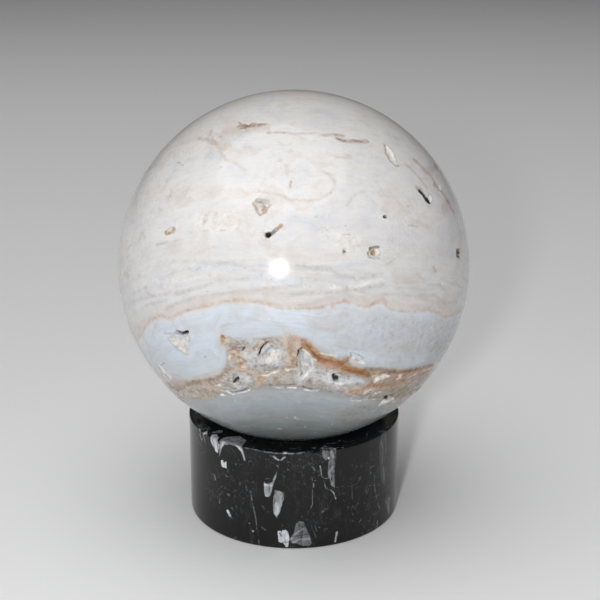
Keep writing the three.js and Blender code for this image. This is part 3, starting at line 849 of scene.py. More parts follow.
def pocketField(places):
    # how far inside the nearest pocket each place is, in millimetres, and how deep the pocket is there
    inside = np.full(len(places), -9.0)
    deep = np.zeros(len(places))
    for outline, depth, wall, lean in allPockets():
        near, points, corners = nearFeature(places, outline, pocketForm["reach"])
        if len(near) == 0:
            continue
        closed = np.vstack([corners, corners[:1]])
        distance = lineDistance(points, closed)
        distance = np.where(insideOutline(points, corners), distance, -distance)
        inside[near] = np.maximum(inside[near], distance)
        toward = np.array([math.cos(math.radians(lean)), math.sin(math.radians(lean))])
        along = np.clip(points @ toward / max(np.abs(corners @ toward).max(), 1e-6), -1, 1)
        side = np.clip(distance / (wall * (1 - pocketForm["wallLean"] * along)), 0, 1)
        drop = pocketForm["floorLean"]
        found = depth * (1 - (1 - side) ** 2) * (1 - drop + drop * along)
        deep[near] = np.maximum(deep[near], np.where(distance > 0, found, 0))
    for line, wide, depth in slitShapes.values():
        near, points, corners = nearFeature(places, line, wide + pocketForm["reach"])
        if len(near) == 0:
            continue
        distance = wide / 2 - lineDistance(points, corners)
        inside[near] = np.maximum(inside[near], distance)
        side = np.clip(distance / (pocketForm["slitWall"] * wide), 0, 1)
        deep[near] = np.maximum(deep[near], np.where(distance > 0, depth * side ** 0.8, 0))
    return inside, deep


def coverOf(distance, wide, soft):
    # how much a stroke covers at a distance from its line, fading over soft on either side of its edge
    cover = np.clip((wide / 2 + soft - distance) / (2 * soft), 0, 1)
    return cover * cover * (3 - 2 * cover)


def layOver(colour, amount, near, cover, tone):
    # one paint laid over what is there, near being the places it reaches
    total = cover + amount[near] * (1 - cover)
    share = np.where(total > 1e-6, cover / np.maximum(total, 1e-6), 0)[:, None]
    colour[near] = colour[near] * (1 - share) + np.array(screenColour(tone)[:3]) * share
    amount[near] = total


def stainField(places):
    # the paint's colour and how much of it, place by place
    colour = np.tile(np.array(screenColour(paints["cream"])[:3]), (len(places), 1))
    amount = np.zeros(len(places))
    for soft, table in stainGroups:
        for paint, strength, wide, line in table:
            near, points, corners = nearFeature(places, line, wide / 2 + soft)
            if len(near):
                cover = strength * coverOf(lineDistance(points, corners), wide, soft)
                layOver(colour, amount, near, cover, paints[paint])
    return colour, amount


def stray(points, fineness, reach, seed):
    # a smooth random shift for each point, in millimetres
    offset = Vector((seed, 2.7 * seed, -1.3 * seed))
    return np.array([noise.noise_vector(Vector(p) * fineness + offset)[:2] for p in points]) * reach


def wantedEdge(places, margin):
    # how long the mesh's edges may be, place by place and margin round each feature, in millimetres
    level = evenLevels(places)
    foot, top = ballBuild["bandLevels"]
    inBand = (level > foot) & (level < top) & (np.abs(places[:, 0]) < ballBuild["bandRound"])
    want = np.full(len(places), ballBuild["plainEdge"])
    want[inBand] = ballBuild["bandEdge"]
    for soft, table in stainGroups:
        finest = max(ballBuild["edgePerSoft"] * soft, ballBuild["markEdge"])
        for paint, strength, wide, line in table:
            near, points, corners = nearFeature(places, line, wide / 2 + soft + margin)
            close = near[lineDistance(points, corners) < wide / 2 + soft + margin]
            want[close] = np.minimum(want[close], finest)
    inside = pocketField(places)[0]
    want[inside > -ballBuild["pocketRim"] - margin] = ballBuild["pocketEdge"]
    return want


def tooLong(edge, want):
    first, last = edge.verts
    return edge.calc_length() / mm > edgeSlack * min(want[first.index], want[last.index])


def refine(bm, want, reshape):
    edges = [e for e in bm.edges if tooLong(e, want)]
    bmesh.ops.subdivide_edges(bm, edges=edges, cuts=1, use_grid_fill=True)
    bmesh.ops.triangulate(bm, faces=[f for f in bm.faces if len(f.verts) > 3])
    for v in bm.verts:
        reshape(v)
    bm.verts.index_update()


def ontoBall(v):
    v.co = v.co.normalized() * ballRadius


def vertexPoints(bm):
    return np.array([v.co[:] for v in bm.verts])


def crystals(points, deep):
    # tilted faces, one for each crystal, standing up from a pocket's floor
    rise = np.zeros(len(points))
    size = ballBuild["crystal"] * mm
    for i in np.nonzero(deep > 0.05)[0]:
        place = Vector(points[i]) / size
        corner = noise.voronoi(place)[1][0]
        tilt = noise.noise_vector(corner * 7.3)
        rise[i] = tilt.dot(place - corner) + 0.5 * noise.noise(corner * 3.1)
    return rise * ballBuild["crystalRise"] * np.clip(deep / ballBuild["crystalDepth"], 0, 1)


def setAttribute(mesh, name, kind, values):
    made = mesh.attributes.new(name, kind, "POINT")
    slot = "value" if kind == "FLOAT" else "color"
    made.data.foreach_set(slot, np.asarray(values, np.float32).ravel())


def withAlpha(colours):
    return np.hstack([colours, np.ones((len(colours), 1))])


def buildBall():
    bm = bmesh.new()
    bmesh.ops.create_icosphere(bm, subdivisions=ballBuild["startLevel"], radius=ballRadius)
    bm.verts.index_update()
    for i in range(ballBuild["passes"]):
        margin = ballBuild["margin"] * ballBuild["startEdge"] / 2 ** i
        refine(bm, wantedEdge(bedPlaces(vertexPoints(bm)), margin), ontoBall)
    points = vertexPoints(bm)
    places = bedPlaces(points)
    shift = stray(points / mm, ballBuild["strayFineness"], ballBuild["stray"], 3)
    shift[:, 0] /= np.maximum(np.cos(np.radians(places[:, 1])), 0.3)
    strayed = places + shift / degreeMm
    inside, deep = pocketField(strayed)
    deep = np.maximum(deep - crystals(points, deep), 0) * (deep > 0)
    colour, amount = stainField(strayed)
    out = points / ballRadius
    for v, direction, depth in zip(bm.verts, out, deep):
        v.co = Vector(direction) * (ballRadius - depth * mm) + ballCentre
    bmesh.ops.recalc_face_normals(bm, faces=bm.faces)
    made = meshObject("banded_ball", bm)
    mesh = made.data
    setAttribute(mesh, "bed", "FLOAT", evenLevels(places))
    setAttribute(mesh, "inside", "FLOAT", inside)
    setAttribute(mesh, "deep", "FLOAT", deep)
    setAttribute(mesh, "stainAmount", "FLOAT", amount)
    setAttribute(mesh, "stainColour", "FLOAT_COLOR", withAlpha(colour))
    mesh.polygons.foreach_set("use_smooth", [True] * len(mesh.polygons))
    normals = np.array([v.normal[:] for v in mesh.vertices])
    polished = inside < ballBuild["polishEnd"]
    normals[polished] = out[polished]
    mesh.normals_split_custom_set_from_vertices(normals.tolist())
    print("ball meshed:", len(mesh.polygons), "triangles")
    return made


# The stone's colours, by level where the beds lie flat
stoneBeds = [
    # the darkening toward the bottom is partly the grey-green stone and partly painted shade of the
    # underside
    (-90, "626866"),
    (-74, "757d7d"),
    (-62, "90989b"),
    (-54, "a7aeb3"),
    (-51.4, "a4a7a9"),
    (-50, "b3afab"),
    (-43, "bcb8b4"),
    (-41, "c4cbd1"),
    (-32, "cdd6e0"),
    (-24, "d5dde6"),
    (-22.6, "e0e3e6"),
    (-21.2, "dad6d3"),
    (-16, "dfdfe0"),
    (-8, "e4e3e2"),
    (8, "ebeaea"),
    (40, "e9e7e5"),
    (90, "e6e2de"),
]


def bedGrain(tree, place, bed, across, up, detail=4.0, rough=0.55, distortion=0.0):
    # noise drawn out along the beds: across is how fine it is in a metre, up in a degree of level
    return grain(tree, place, across, detail, rough, distortion, w=sums(tree, "MULTIPLY", bed, up / across))


def ridge(tree, value, thin):
    # a thin line where the noise crosses its middle value
    off = put(tree, "Math", {0: sums(tree, "SUBTRACT", value, 0.5)}, operation="ABSOLUTE")
    return spread(tree, off, thin, 0.0)


def stoneMaterial():
    made, tree, shader = newMaterial("bandedCalcite")
    place = put(tree, "TexCoord", output="Object")
    bed = attribute(tree, "bed")
    inside = attribute(tree, "inside")
    deep = attribute(tree, "deep")
    stain = attribute(tree, "stainColour", "Color")
    stainAmount = attribute(tree, "stainAmount")

    # beds that wander a little
    wander = grain(tree, place, 45, detail=4)
    wavy = sums(tree, "ADD", bed, spread(tree, wander, 0.3, 0.7, -0.9, 0.9, smooth=False))
    share = spread(tree, wavy, -90, 90, smooth=False)
    colour = ramp(tree, share, [((level + 90) / 180, tone) for level, tone in stoneBeds])

    # warm and cool clouds, then soft beds, most of them low on the body
    clouds = bedGrain(tree, place, wavy, 46, 0.07, detail=6, rough=0.62, distortion=0.7)
    tints = [(0.3, "f0e8e1"), (0.42, "f8f5f2"), (0.5, "ffffff"), (0.6, "f7f8fb"), (0.72, "ecedf3")]
    colour = shaded(tree, colour, 0.85, clouds, tints)
    layers = bedGrain(tree, place, wavy, 20, 0.45, detail=4, rough=0.6)
    strata = [(0.3, "efebe9"), (0.43, "f8f6f6"), (0.52, "ffffff"), (0.62, "f3f5f8"), (0.72, "e7e7ea")]
    layered = spread(tree, bed, 6, -8, 0.3, 0.7)
    colour = shaded(tree, colour, layered, layers, strata)
    fine = bedGrain(tree, place, wavy, 150, 0.3, detail=5, rough=0.7)
    lights = [(0.3, "ece7e3"), (0.46, "fdfcfb"), (0.56, "ffffff"), (0.7, "f0f1f3")]
    colour = shaded(tree, colour, 0.65, fine, lights)

    # lacy threads in patches on the body
    body = spread(tree, bed, -20, -6)
    patches = spread(tree, grain(tree, place, 22, detail=3), 0.42, 0.6)
    lace = ridge(tree, grain(tree, place, 85, detail=5, rough=0.62, distortion=1.3), 0.03)
    colour = tinted(tree, colour, "c8bbae", body, patches, lace, 0.35)
    whites = spread(tree, grain(tree, place, 190, detail=4, rough=0.7), 0.63, 0.74)
    colour = tinted(tree, colour, "f8f8fa", whites, 0.35)

    # the crumbly band
    band = multiplied(tree, spread(tree, bed, -52, -50.6), spread(tree, bed, -41.4, -43))
    crumb = grain(tree, place, 380, detail=5, rough=0.75)
    crumbs = [(0.33, "a88f7d"), (0.42, "d9cdc4"), (0.5, "f6f4f3"), (0.6, "ffffff"), (0.68, "ffffff")]
    colour = shaded(tree, colour, multiplied(tree, band, 0.85), crumb, crumbs)
    bright = spread(tree, crumb, 0.6, 0.68)
    colour = tinted(tree, colour, "f5f3f0", band, bright, 0.6)

    # inside the pockets, and a line of painted shade round their edges
    hollow = spread(tree, inside, -0.1, 0.3)
    cell = put(tree, "TexVoronoi", {"Vector": place, "Scale": 700.0}, output="Color")
    cellTone = put(tree, "RGBToBW", {0: cell})
    crystal = ramp(tree, cellTone, [(0.2, "a9a39c"), (0.5, "d6d4d0"), (0.8, "f1efeb")])
    colour = blendColour(tree, multiplied(tree, hollow, 0.5), colour, crystal)
    # painted shade: a broken brown line along each pocket's rim
    off = put(tree, "Math", {0: sums(tree, "SUBTRACT", inside, 0.1)}, operation="ABSOLUTE")
    edge = multiplied(tree, spread(tree, off, 0.4, 0.0), spread(tree, crumb, 0.42, 0.56))
    colour = tinted(tree, colour, "8c7464", edge, 0.42)

    # stains, broken up
    speckle = grain(tree, place, 430, detail=5, rough=0.75)
    broken = spread(tree, speckle, 0.33, 0.67, 0.35, 1.55, smooth=False)
    solid = spread(tree, stainAmount, 0.84, 0.97)
    whole = sums(tree, "MAXIMUM", broken, solid)
    stained = sums(tree, "MULTIPLY", stainAmount, whole, clamp=True)
    grit = [(0.34, "a8968a"), (0.47, "ebe4de"), (0.56, "ffffff")]
    mixed = shaded(tree, stain, 0.7, crumb, grit)
    colour = blendColour(tree, stained, colour, mixed)
    # painted shade: the colour darkens toward brown-black as a pocket gets deeper
    depthShade = spread(tree, deep, 2.0, 3.2, 0.0, 0.95)
    colour = blendColour(tree, depthShade, colour, screenColour("241c17"), "MULTIPLY")
    tree.links.new(colour, shader.inputs["Base Color"])

    polish = spread(tree, clouds, 0.3, 0.7, 0.11, 0.15)
    rough = sums(tree, "MAXIMUM", polish, multiplied(tree, hollow, 0.6))
    tree.links.new(rough, shader.inputs["Roughness"])
    facets = multiplied(tree, hollow, cellTone)
    bump = put(tree, "Bump", {"Height": facets, "Distance": 0.0004, "Strength": 0.7})
    tree.links.new(bump, shader.inputs["Normal"])
    shader.inputs["IOR"].default_value = 1.5
    shader.inputs["Subsurface Weight"].default_value = 0.15
    shader.inputs["Subsurface Radius"].default_value = (1.0, 0.85, 0.7)
    shader.inputs["Subsurface Scale"].default_value = 0.0025
    return made


ball = buildBall()
ball.data.materials.append(stoneMaterial())
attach(ball, "root")
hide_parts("ball")
print("ball finished")

# The ring stand, millimetres
ringBuild = {
    "boreRadius": 33.5,
    "seatRadius": 36.6,  # where the ball bears
    "contactGap": 0.3,
    "topEdge": 0.7,
    "footEdge": 0.9,
    "steps": 360,
    "wallRows": 58,
    "topRows": 14,
    "boreRows": 8,
    "bevelSegments": 3,
    "sharpAngle": 35,
    "touch": 0.01,  # how near the plane of the top counts as on it
    "passes": 2,
    "plainEdge": 40,
    "markEdge": 0.4,
    "faintest": 0.02,  # the least cover of a mark that calls for fine mesh
    "soft": 0.3,
    "markedFrom": 0.76,  # share of the radius, so the seat and the bore stay plain
    "hiddenMarks": 64,
    "hiddenSeed": 19,
}
# Shells and veins in the marble. A place is degrees round from the front and millimetres up the wall,
# and on over the rim toward the mouth.
marblePaints = {
    "shell": "d9dde3",
    "pale": "a3a6a9",
    "vein": "74767a",
    "dull": "45474b",
    "night": "101012",
}
# filled outlines: colour, strength, outline
fossilShapes = [
    ("vein", 0.55, [(-67, 49), (-66.5, 51), (-64.5, 53.5), (-61.5, 54.5), (-57, 53.5), (-56, 51),
                    (-60, 48), (-65.5, 47.5)]),
    ("pale", 0.7, [(-52.5, 51), (-53.5, 53.5), (-53, 56), (-51, 57), (-48.5, 56), (-49.5, 53.5)]),
    ("shell", 0.95, [(-49.5, 49), (-50.5, 50.5), (-49, 52.5), (-44.5, 50.5), (-42.5, 46.5), (-43.5, 42),
                     (-45.5, 42.5), (-47.5, 44.5), (-49.5, 46.5)]),
    ("shell", 0.9, [(-56.5, 47.5), (-55.5, 49), (-56, 51.5), (-53, 49)]),
    ("pale", 0.9, [(-42.5, 40.5), (-42.5, 45), (-42, 49), (-43, 52.5), (-40, 56), (-37, 58.5),
                   (-29.5, 56), (-28.5, 51), (-27, 47.5), (-26, 44), (-26, 42), (-27, 44), (-28.5, 47),
                   (-31, 48.5), (-35, 48.5), (-38.5, 47.5), (-40.5, 46), (-41.5, 43)]),
    ("shell", 0.95, [(-41.5, 39), (-40, 39.5), (-39.5, 38), (-38.5, 39.5), (-37.5, 39.5), (-37.5, 36),
                     (-41, 36)]),
    ("pale", 0.85, [(-15.5, 33.5), (-14.5, 32.5), (-13, 33.5), (-11, 33.5), (-11, 31), (-12, 27.5),
                    (-13, 26), (-14.5, 26), (-15.5, 27.5)]),
    ("pale", 0.9, [(-10, 30), (-7.5, 29.5), (-5, 29), (-5, 26), (-6, 23), (-7.5, 18.5), (-9, 15.5),
                   (-10.5, 18), (-11, 22), (-10.5, 27)]),
    ("shell", 0.85, [(-8.5, 9), (-4.5, 10), (-3, 9), (-2.5, 5), (-3, 1), (-4.5, 1), (-5.5, 3),
                     (-8, 3.5)]),
    ("vein", 0.8, [(1, 13), (2.5, 14.5), (5, 14), (6, 11.5), (7.5, 8), (9, 4.5), (8.5, 2), (4.5, 1.5),
                   (1, 3), (-1.5, 3), (-2, 5.5), (0, 8.5)]),
    ("vein", 0.6, [(15, 53), (17.5, 54.5), (20, 52.5), (22, 49), (22, 44.5), (21.5, 38.5), (21.5, 29.5),
                   (20, 30.5), (19.5, 34.5), (17.5, 35), (17.5, 39), (18, 44), (14.5, 46), (14, 48.5)]),
    ("dull", 0.9, [(55, 52), (57.5, 50.5), (58.5, 47), (59.5, 38.5), (58.5, 34.5), (60, 28), (60, 22.5),
                   (58, 20), (54, 24), (52.5, 31.5), (51, 44)]),
    ("vein", 0.7, [(59.5, 14), (66.5, 11), (64.5, 7.5), (65, 1), (61, 7), (58.5, 11.5)]),
]
# strokes: colour, strength, wide, line
fossilLines = [
    ("shell", 0.95, 1.0, [(-41.5, 45.5), (-39.5, 48.5), (-36.5, 50), (-33.5, 50), (-30, 48.5),
                          (-27.5, 47), (-26.2, 43)]),
    ("night", 0.7, 0.8, [(-31, 52), (-31, 54)]),
    ("night", 0.7, 0.7, [(-51, 52), (-49, 55.5)]),
    ("pale", 0.8, 0.5, [(-60.5, 46.5), (-59.5, 45.5), (-58, 43.5)]),
    ("vein", 0.7, 0.6, [(-53.5, 47), (-52.5, 49.5)]),
    ("dull", 0.8, 0.8, [(-56.5, 46.5), (-54.5, 44.5)]),
    ("vein", 0.7, 0.5, [(-68, 50), (-64, 47), (-60, 44), (-57, 45)]),
    ("vein", 0.7, 0.5, [(-66, 44), (-62, 41.5), (-58, 41)]),
    ("vein", 0.6, 0.5, [(-58, 50), (-55, 46), (-54, 42)]),
    ("pale", 0.6, 0.5, [(-62, 49.5), (-59, 47)]),
    ("vein", 0.6, 0.4, [(24, 52), (30, 50), (36, 50.4)]),
    ("vein", 0.6, 0.4, [(27, 57), (33, 53), (40, 52.6)]),
    ("vein", 0.6, 0.5, [(44, 51), (47, 54), (52, 55)]),
    ("dull", 0.6, 1.0, [(-69, 40), (-71, 30)]),
    ("dull", 0.6, 1.0, [(-63, 42.5), (-64, 33.5)]),
    ("dull", 0.7, 0.6, [(-66.5, 30.5), (-60.5, 36.5), (-54, 39.5)]),
    ("dull", 0.8, 1.1, [(-31.5, 39.5)]),
    ("vein", 0.7, 1.0, [(-47, 30), (-46, 28)]),
    ("shell", 0.8, 1.6, [(-37.2, 14), (-35.8, 12.2)]),
    ("pale", 0.8, 0.8, [(-36, 12.6), (-34.4, 11)]),
    ("pale", 0.8, 0.9, [(-34.4, 16.6), (-33.8, 15.8)]),
    ("vein", 0.8, 0.7, [(-31.5, 17.8)]),
    ("vein", 0.6, 0.9, [(-43, 18.6), (-43.2, 16.6)]),
    ("dull", 0.8, 0.8, [(-27.6, 20.4), (-26.8, 21.6)]),
    ("vein", 0.6, 0.7, [(-33.4, 36)]),
    ("dull", 0.8, 0.8, [(-29.6, 30.6), (-28.2, 31)]),
    ("dull", 0.9, 0.9, [(-25.6, 29.4), (-25, 27.8)]),
    ("pale", 0.8, 1.0, [(-24, 11)]),
    ("pale", 0.8, 1.2, [(-22, 7.4)]),
    ("vein", 0.5, 0.6, [(-24.2, 41.4), (-23.4, 42.8)]),
    ("dull", 0.8, 0.8, [(-33.4, 1.2), (-32, 1.8)]),
    ("vein", 0.55, 0.9, [(-23, 28), (-22.5, 24), (-20.5, 15), (-19.5, 8.5), (-18.5, 0.5)]),
    # a grey line along the front just under the top edge
    ("vein", 0.8, 0.6, [(-27, 48.6), (-23, 49), (-18.5, 48.6), (-14, 48.4), (-6, 48.2), (2, 48.4),
                        (8, 49)]),
    ("pale", 0.85, 0.9, [(-10.5, 46.5), (-9, 45.5), (-8, 45)]),
    ("pale", 0.85, 0.9, [(-6.5, 45), (-5.5, 46), (-4.5, 46.6)]),
    ("dull", 0.8, 0.7, [(-12.5, 47), (-11, 46.5)]),
    ("vein", 0.8, 0.7, [(-9, 42.5), (-8, 41.5)]),
    ("pale", 0.7, 0.5, [(-8.5, 40), (-9.5, 37)]),
    ("pale", 0.8, 0.9, [(-9.5, 37), (-10.5, 34.5), (-11.2, 32)]),
    ("shell", 0.8, 1.0, [(-15, 32), (-11.5, 32)]),
    ("shell", 0.8, 0.9, [(-14.5, 26.6)]),
    ("dull", 0.8, 0.5, [(-14.5, 35), (-13, 35.5), (-12, 34.5)]),
    ("shell", 0.7, 1.8, [(-9, 23), (-9, 18)]),
    ("dull", 0.9, 1.0, [(-16.5, 21), (-15.5, 19.5)]),
    ("dull", 0.9, 0.8, [(-13.5, 18.5)]),
    ("dull", 0.9, 0.8, [(-17, 10), (-15, 9)]),
    ("dull", 0.9, 1.0, [(-6, 12)]),
    ("dull", 0.8, 0.8, [(-18.5, 16.5)]),
    ("night", 0.7, 0.7, [(-7.5, 8), (-6.5, 6.5)]),
    ("night", 0.6, 0.6, [(-6, 3.4), (-3.4, 3.6)]),
    ("pale", 0.8, 0.8, [(-1.5, 5), (1.5, 8.5), (4.5, 10.5)]),
    ("pale", 0.8, 0.9, [(-0.5, 3.5), (3, 5), (8, 5)]),
    ("night", 0.6, 0.6, [(-1, 6.5), (3, 7), (7.5, 7.5)]),
    ("vein", 0.8, 0.7, [(6.6, 3.4), (8, 3.8), (9, 2.8), (8.4, 1.8), (7, 1.9)]),
    ("dull", 0.9, 0.6, [(9, 12), (10.5, 8), (11.5, 5.5)]),
    ("dull", 0.9, 0.6, [(10.6, 12), (12, 8.6)]),
    ("pale", 0.8, 1.2, [(15, 51.6), (21.5, 49.4)]),
    ("pale", 0.8, 1.1, [(19.5, 48), (20.5, 45)]),
    ("shell", 0.8, 0.9, [(18, 45)]),
    ("vein", 0.8, 0.9, [(15.5, 46), (16.5, 44.5)]),
    ("pale", 0.75, 0.7, [(13.5, 41.5), (14, 38.5), (14.5, 36), (16, 35), (17.5, 35)]),
    ("pale", 0.75, 1.3, [(20, 40), (18.4, 38), (18.5, 34.5), (19.5, 31.5)]),
    ("vein", 0.8, 0.7, [(19.5, 38), (21, 38)]),
    ("pale", 0.7, 0.6, [(15.5, 34.5), (16, 32), (16.5, 30), (19.5, 28.5), (21, 27), (22, 24)]),
    ("vein", 0.85, 0.6, [(20, 56), (22.5, 55), (25.5, 55), (29.5, 56.5)]),
    ("vein", 0.85, 0.6, [(22.5, 50), (26, 49)]),
    ("pale", 0.8, 0.7, [(10, 53), (11.5, 52.5)]),
    ("pale", 0.8, 0.7, [(18, 55)]),
    ("pale", 0.9, 0.7, [(-5, 49), (-3, 49.2)]),
    ("pale", 0.8, 0.6, [(1, 49)]),
    ("vein", 0.7, 0.9, [(9.5, 41.5), (11, 39.5)]),
    ("dull", 0.9, 0.7, [(9, 36.5), (9.5, 34.5)]),
    ("vein", 0.7, 0.6, [(11, 34.5)]),
    ("vein", 0.8, 0.8, [(10, 33), (10, 31.5)]),
    ("vein", 0.5, 0.5, [(9.5, 31), (9.5, 25), (9.5, 22.5), (8, 19.5), (5.5, 15)]),
    ("pale", 0.7, 0.7, [(48, 29.5), (47.5, 26), (48.5, 20.5)]),
    ("vein", 0.7, 0.5, [(48.5, 20.5), (51.5, 12.5), (53.5, 9.5)]),
    ("vein", 0.8, 1.0, [(53, 45), (55, 40), (54.5, 34), (56, 29), (57, 24)]),
    ("vein", 0.8, 0.5, [(62, 52), (62, 50), (66, 49)]),
    ("vein", 0.8, 0.5, [(68, 54.5), (67.5, 52)]),
    ("vein", 0.7, 0.9, [(51, 4.5), (51, 0)]),
    ("pale", 0.85, 1.1, [(23, 6.5), (22, 2)]),
    ("dull", 0.8, 0.8, [(31.5, 29), (32, 22)]),
    ("dull", 0.8, 0.8, [(32.5, 31.5)]),
    ("dull", 0.9, 0.8, [(31, 11)]),
    ("vein", 0.7, 0.6, [(17.5, 8)]),
    ("dull", 0.8, 1.0, [(74, 33)]),
    ("dull", 0.9, 0.8, [(6, 45.4)]),
    ("dull", 0.9, 0.9, [(-16, 20.8)]),
]


def hiddenFossils():
    # shells and veins of the same kinds where the photograph doesn't reach
    chance = np.random.default_rng(ringBuild["hiddenSeed"])
    found = []
    for i in range(ringBuild["hiddenMarks"]):
        at = chance.uniform(78, 282)
        height = chance.uniform(1, 54)
        tone = ("dull", "vein", "pale", "dull")[int(chance.integers(0, 4))]
        lean = chance.uniform(-4, 4)
        length = chance.uniform(0, 7) * (i % 3)
        if i % 9 == 0:  # a curved shell
            line = [(at + 5 * math.cos(a), height + 4 * math.sin(a)) for a in np.linspace(0.2, 2.9, 6)]
        else:
            line = [(at, height), (at + lean, height + length)]
        found.append((tone, chance.uniform(0.5, 0.9), chance.uniform(0.5, 1.6), line))
    return found


def ringPlaces(points):
    # degrees round, and millimetres up the wall and on over the rim
    radius = np.hypot(points[:, 0], points[:, 1])
    roundAngle = np.degrees(np.arctan2(points[:, 0], -points[:, 1]))
    onTop = points[:, 2] > ringHigh.z - ringBuild["touch"] * mm
    over = np.where(onTop, ringRadius - radius, 0)
    return np.stack([roundAngle, (points[:, 2] + over) / mm], 1)


def fossilField(points):
    places = ringPlaces(points)
    outer = np.hypot(points[:, 0], points[:, 1]) > ringBuild["markedFrom"] * ringRadius
    degree = ringRadius / mm * math.pi / 180
    soft = ringBuild["soft"]
    colour = np.tile(np.array(screenColour(marblePaints["night"])[:3]), (len(points), 1))
    amount = np.zeros(len(points))
    strokes = [(tone, strength, 0, outline) for tone, strength, outline in fossilShapes]
    for tone, strength, wide, line in strokes + fossilLines + hiddenFossils():
        corners = np.array(line, float)
        about = corners.mean(0)
        flat = places - about
        flat[:, 0] = (flat[:, 0] + 180) % 360 - 180
        flat *= (degree, 1)
        corners = (corners - about) * (degree, 1)
        extent = np.abs(corners).max(0) + wide / 2 + soft
        near = np.nonzero((np.abs(flat) < extent).all(1) & outer)[0]
        if len(near) == 0:
            continue
        if wide == 0:  # a filled outline
            distance = lineDistance(flat[near], np.vstack([corners, corners[:1]]))
            distance = np.where(insideOutline(flat[near], corners), -distance, distance)
        else:
            distance = lineDistance(flat[near], corners)
        layOver(colour, amount, near, strength * coverOf(distance, wide, soft), marblePaints[tone])
    return colour, amount


def easedCorner(before, corner, after, wide):
    # a right angle of the section turned into a quarter circle
    back = (Vector(before) - Vector(corner)).normalized() * wide * mm
    onward = (Vector(after) - Vector(corner)).normalized() * wide * mm
    middle = Vector(corner) + back + onward
    steps = ringBuild["bevelSegments"]
    angles = [math.radians(90 * i / steps) for i in range(steps + 1)]
    return [middle - onward * math.cos(angle) - back * math.sin(angle) for angle in angles]


def buildRing():
    bearing = ballRadius + ringBuild["contactGap"] * mm
    bore = ringBuild["boreRadius"] * mm
    seat = ringBuild["seatRadius"] * mm
    slope = math.asin(seat / bearing)
    seatHeight = ballCentre.z - bearing * math.cos(slope)
    mouth = seat + (ringHigh.z - seatHeight) / math.tan(slope)
    seatFoot = seatHeight + (bore - seat) * math.tan(slope)
    boreFoot, foot = (bore, 0), (ringRadius, 0)
    shoulder, lip = (ringRadius, ringHigh.z), (mouth, ringHigh.z)
    boreTop = (bore, seatFoot)
    boreCorner = easedCorner(boreTop, boreFoot, foot, ringBuild["footEdge"])
    footCorner = easedCorner(boreFoot, foot, shoulder, ringBuild["footEdge"])
    topCorner = easedCorner(foot, shoulder, lip, ringBuild["topEdge"])
    section = boreCorner + footCorner + topCorner + [lip, boreTop]
    bm = bmesh.new()
    corners = [bm.verts.new((0, -radius, height)) for radius, height in section]
    edges = [bm.edges.new((a, b)) for a, b in zip(corners, corners[1:] + corners[:1])]
    wall = edges[len(boreCorner) + len(footCorner) - 1]
    rows = [(wall, "wallRows"), (edges[-3], "topRows"), (edges[-1], "boreRows")]
    for edge, name in rows:
        bmesh.ops.subdivide_edges(bm, edges=[edge], cuts=ringBuild[name])
    bmesh.ops.spin(
        bm,
        geom=bm.verts[:] + bm.edges[:],
        cent=(0, 0, 0),
        axis=(0, 0, 1),
        angle=2 * math.pi,
        steps=ringBuild["steps"],
        use_merge=True,
    )
    bmesh.ops.remove_doubles(bm, verts=bm.verts, dist=1e-6)
    bmesh.ops.recalc_face_normals(bm, faces=bm.faces)
    bmesh.ops.triangulate(bm, faces=bm.faces)
    bm.verts.index_update()
    for i in range(ringBuild["passes"]):
        marked = fossilField(vertexPoints(bm))[1] > ringBuild["faintest"]
        want = np.where(marked, ringBuild["markEdge"], ringBuild["plainEdge"])
        refine(bm, want, lambda v: None)
    colour, amount = fossilField(vertexPoints(bm))
    made = meshObject("fossil_ring", bm)
    mesh = made.data
    setAttribute(mesh, "fossilAmount", "FLOAT", amount)
    setAttribute(mesh, "fossilColour", "FLOAT_COLOR", withAlpha(colour))
    mesh.polygons.foreach_set("use_smooth", [True] * len(mesh.polygons))
    mesh.set_sharp_from_angle(angle=math.radians(ringBuild["sharpAngle"]))
    print("ring meshed:", len(mesh.polygons), "triangles")
    return made


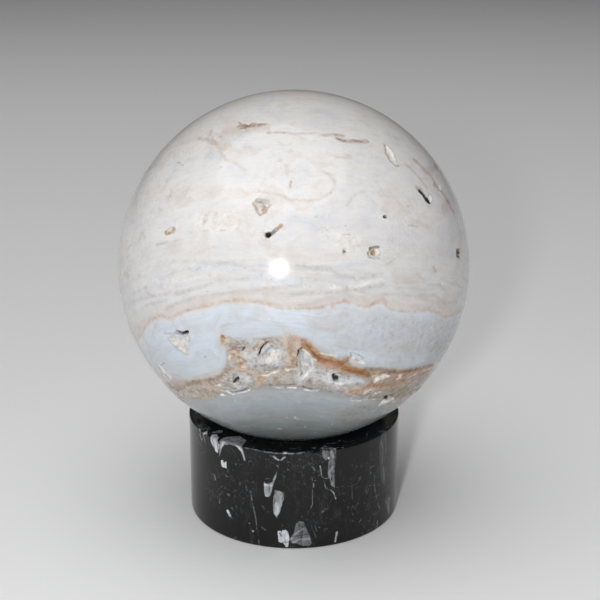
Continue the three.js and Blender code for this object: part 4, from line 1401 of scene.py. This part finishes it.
def marbleMaterial():
    made, tree, shader = newMaterial("fossilMarble")
    place = put(tree, "TexCoord", output="Object")
    fossil = attribute(tree, "fossilColour", "Color")
    fossilAmount = attribute(tree, "fossilAmount")
    clouds = grain(tree, place, 60, detail=6, rough=0.6, distortion=0.4)
    colour = ramp(tree, clouds, [(0.3, "070708"), (0.5, "0c0c0e"), (0.64, "131315"), (0.74, "1c1d1f")])

    # upright streaks and flecks of crushed shell
    upright = put(tree, "Mapping", {"Vector": place, "Scale": (1, 1, 0.25)})
    streaks = grain(tree, upright, 230, detail=4, rough=0.7)
    colour = tinted(tree, colour, "3a3b3e", spread(tree, streaks, 0.54, 0.74), 0.5)
    flecks = grain(tree, place, 480, detail=4, rough=0.7)
    where = spread(tree, grain(tree, place, 34, detail=2), 0.42, 0.62)
    fleckCover = multiplied(tree, spread(tree, flecks, 0.58, 0.7), where, 0.85)
    colour = tinted(tree, colour, "6a6b69", fleckCover)
    threads = ridge(tree, grain(tree, place, 60, detail=5, rough=0.65, distortion=1.2), 0.01)
    colour = tinted(tree, colour, "606265", threads, where, 0.3)

    # the shells, feathered and streaked
    mottle = grain(tree, place, 520, detail=5, rough=0.75)
    feather = grain(tree, upright, 420, detail=4, rough=0.7)
    both = sums(tree, "ADD", mottle, feather)
    broken = sums(tree, "ADD", fossilAmount, spread(tree, both, 0.7, 1.3, -0.55, 0.55, smooth=False))
    cover = multiplied(tree, spread(tree, broken, 0.25, 0.8), spread(tree, fossilAmount, 0.0, 0.5))
    shades = [(0.32, "6c6d70"), (0.5, "d6d7d9"), (0.62, "ffffff")]
    colour = blendColour(tree, cover, colour, shaded(tree, fossil, 0.75, feather, shades))
    tree.links.new(colour, shader.inputs["Base Color"])
    tree.links.new(spread(tree, clouds, 0.3, 0.7, 0.1, 0.17), shader.inputs["Roughness"])
    shader.inputs["IOR"].default_value = 1.4
    return made


ring = buildRing()
ring.data.materials.append(marbleMaterial())
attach(ring, "root")
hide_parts("ring_stand")
print("ring finished")


def makeFloor():
    bm = bmesh.new()
    bmesh.ops.create_grid(bm, x_segments=8, y_segments=8, size=studio["floorWidth"] / 2)
    floor = meshObject("floor", bm)
    made, _, shader = newMaterial("paleFloor")
    tone = studio["floorTone"]
    shader.inputs["Base Color"].default_value = (tone, tone, tone, 1)
    shader.inputs["Roughness"].default_value = 0.8
    shader.inputs["Specular IOR Level"].default_value = 0.1
    floor.data.materials.append(made)


makeFloor()
print("floor laid")
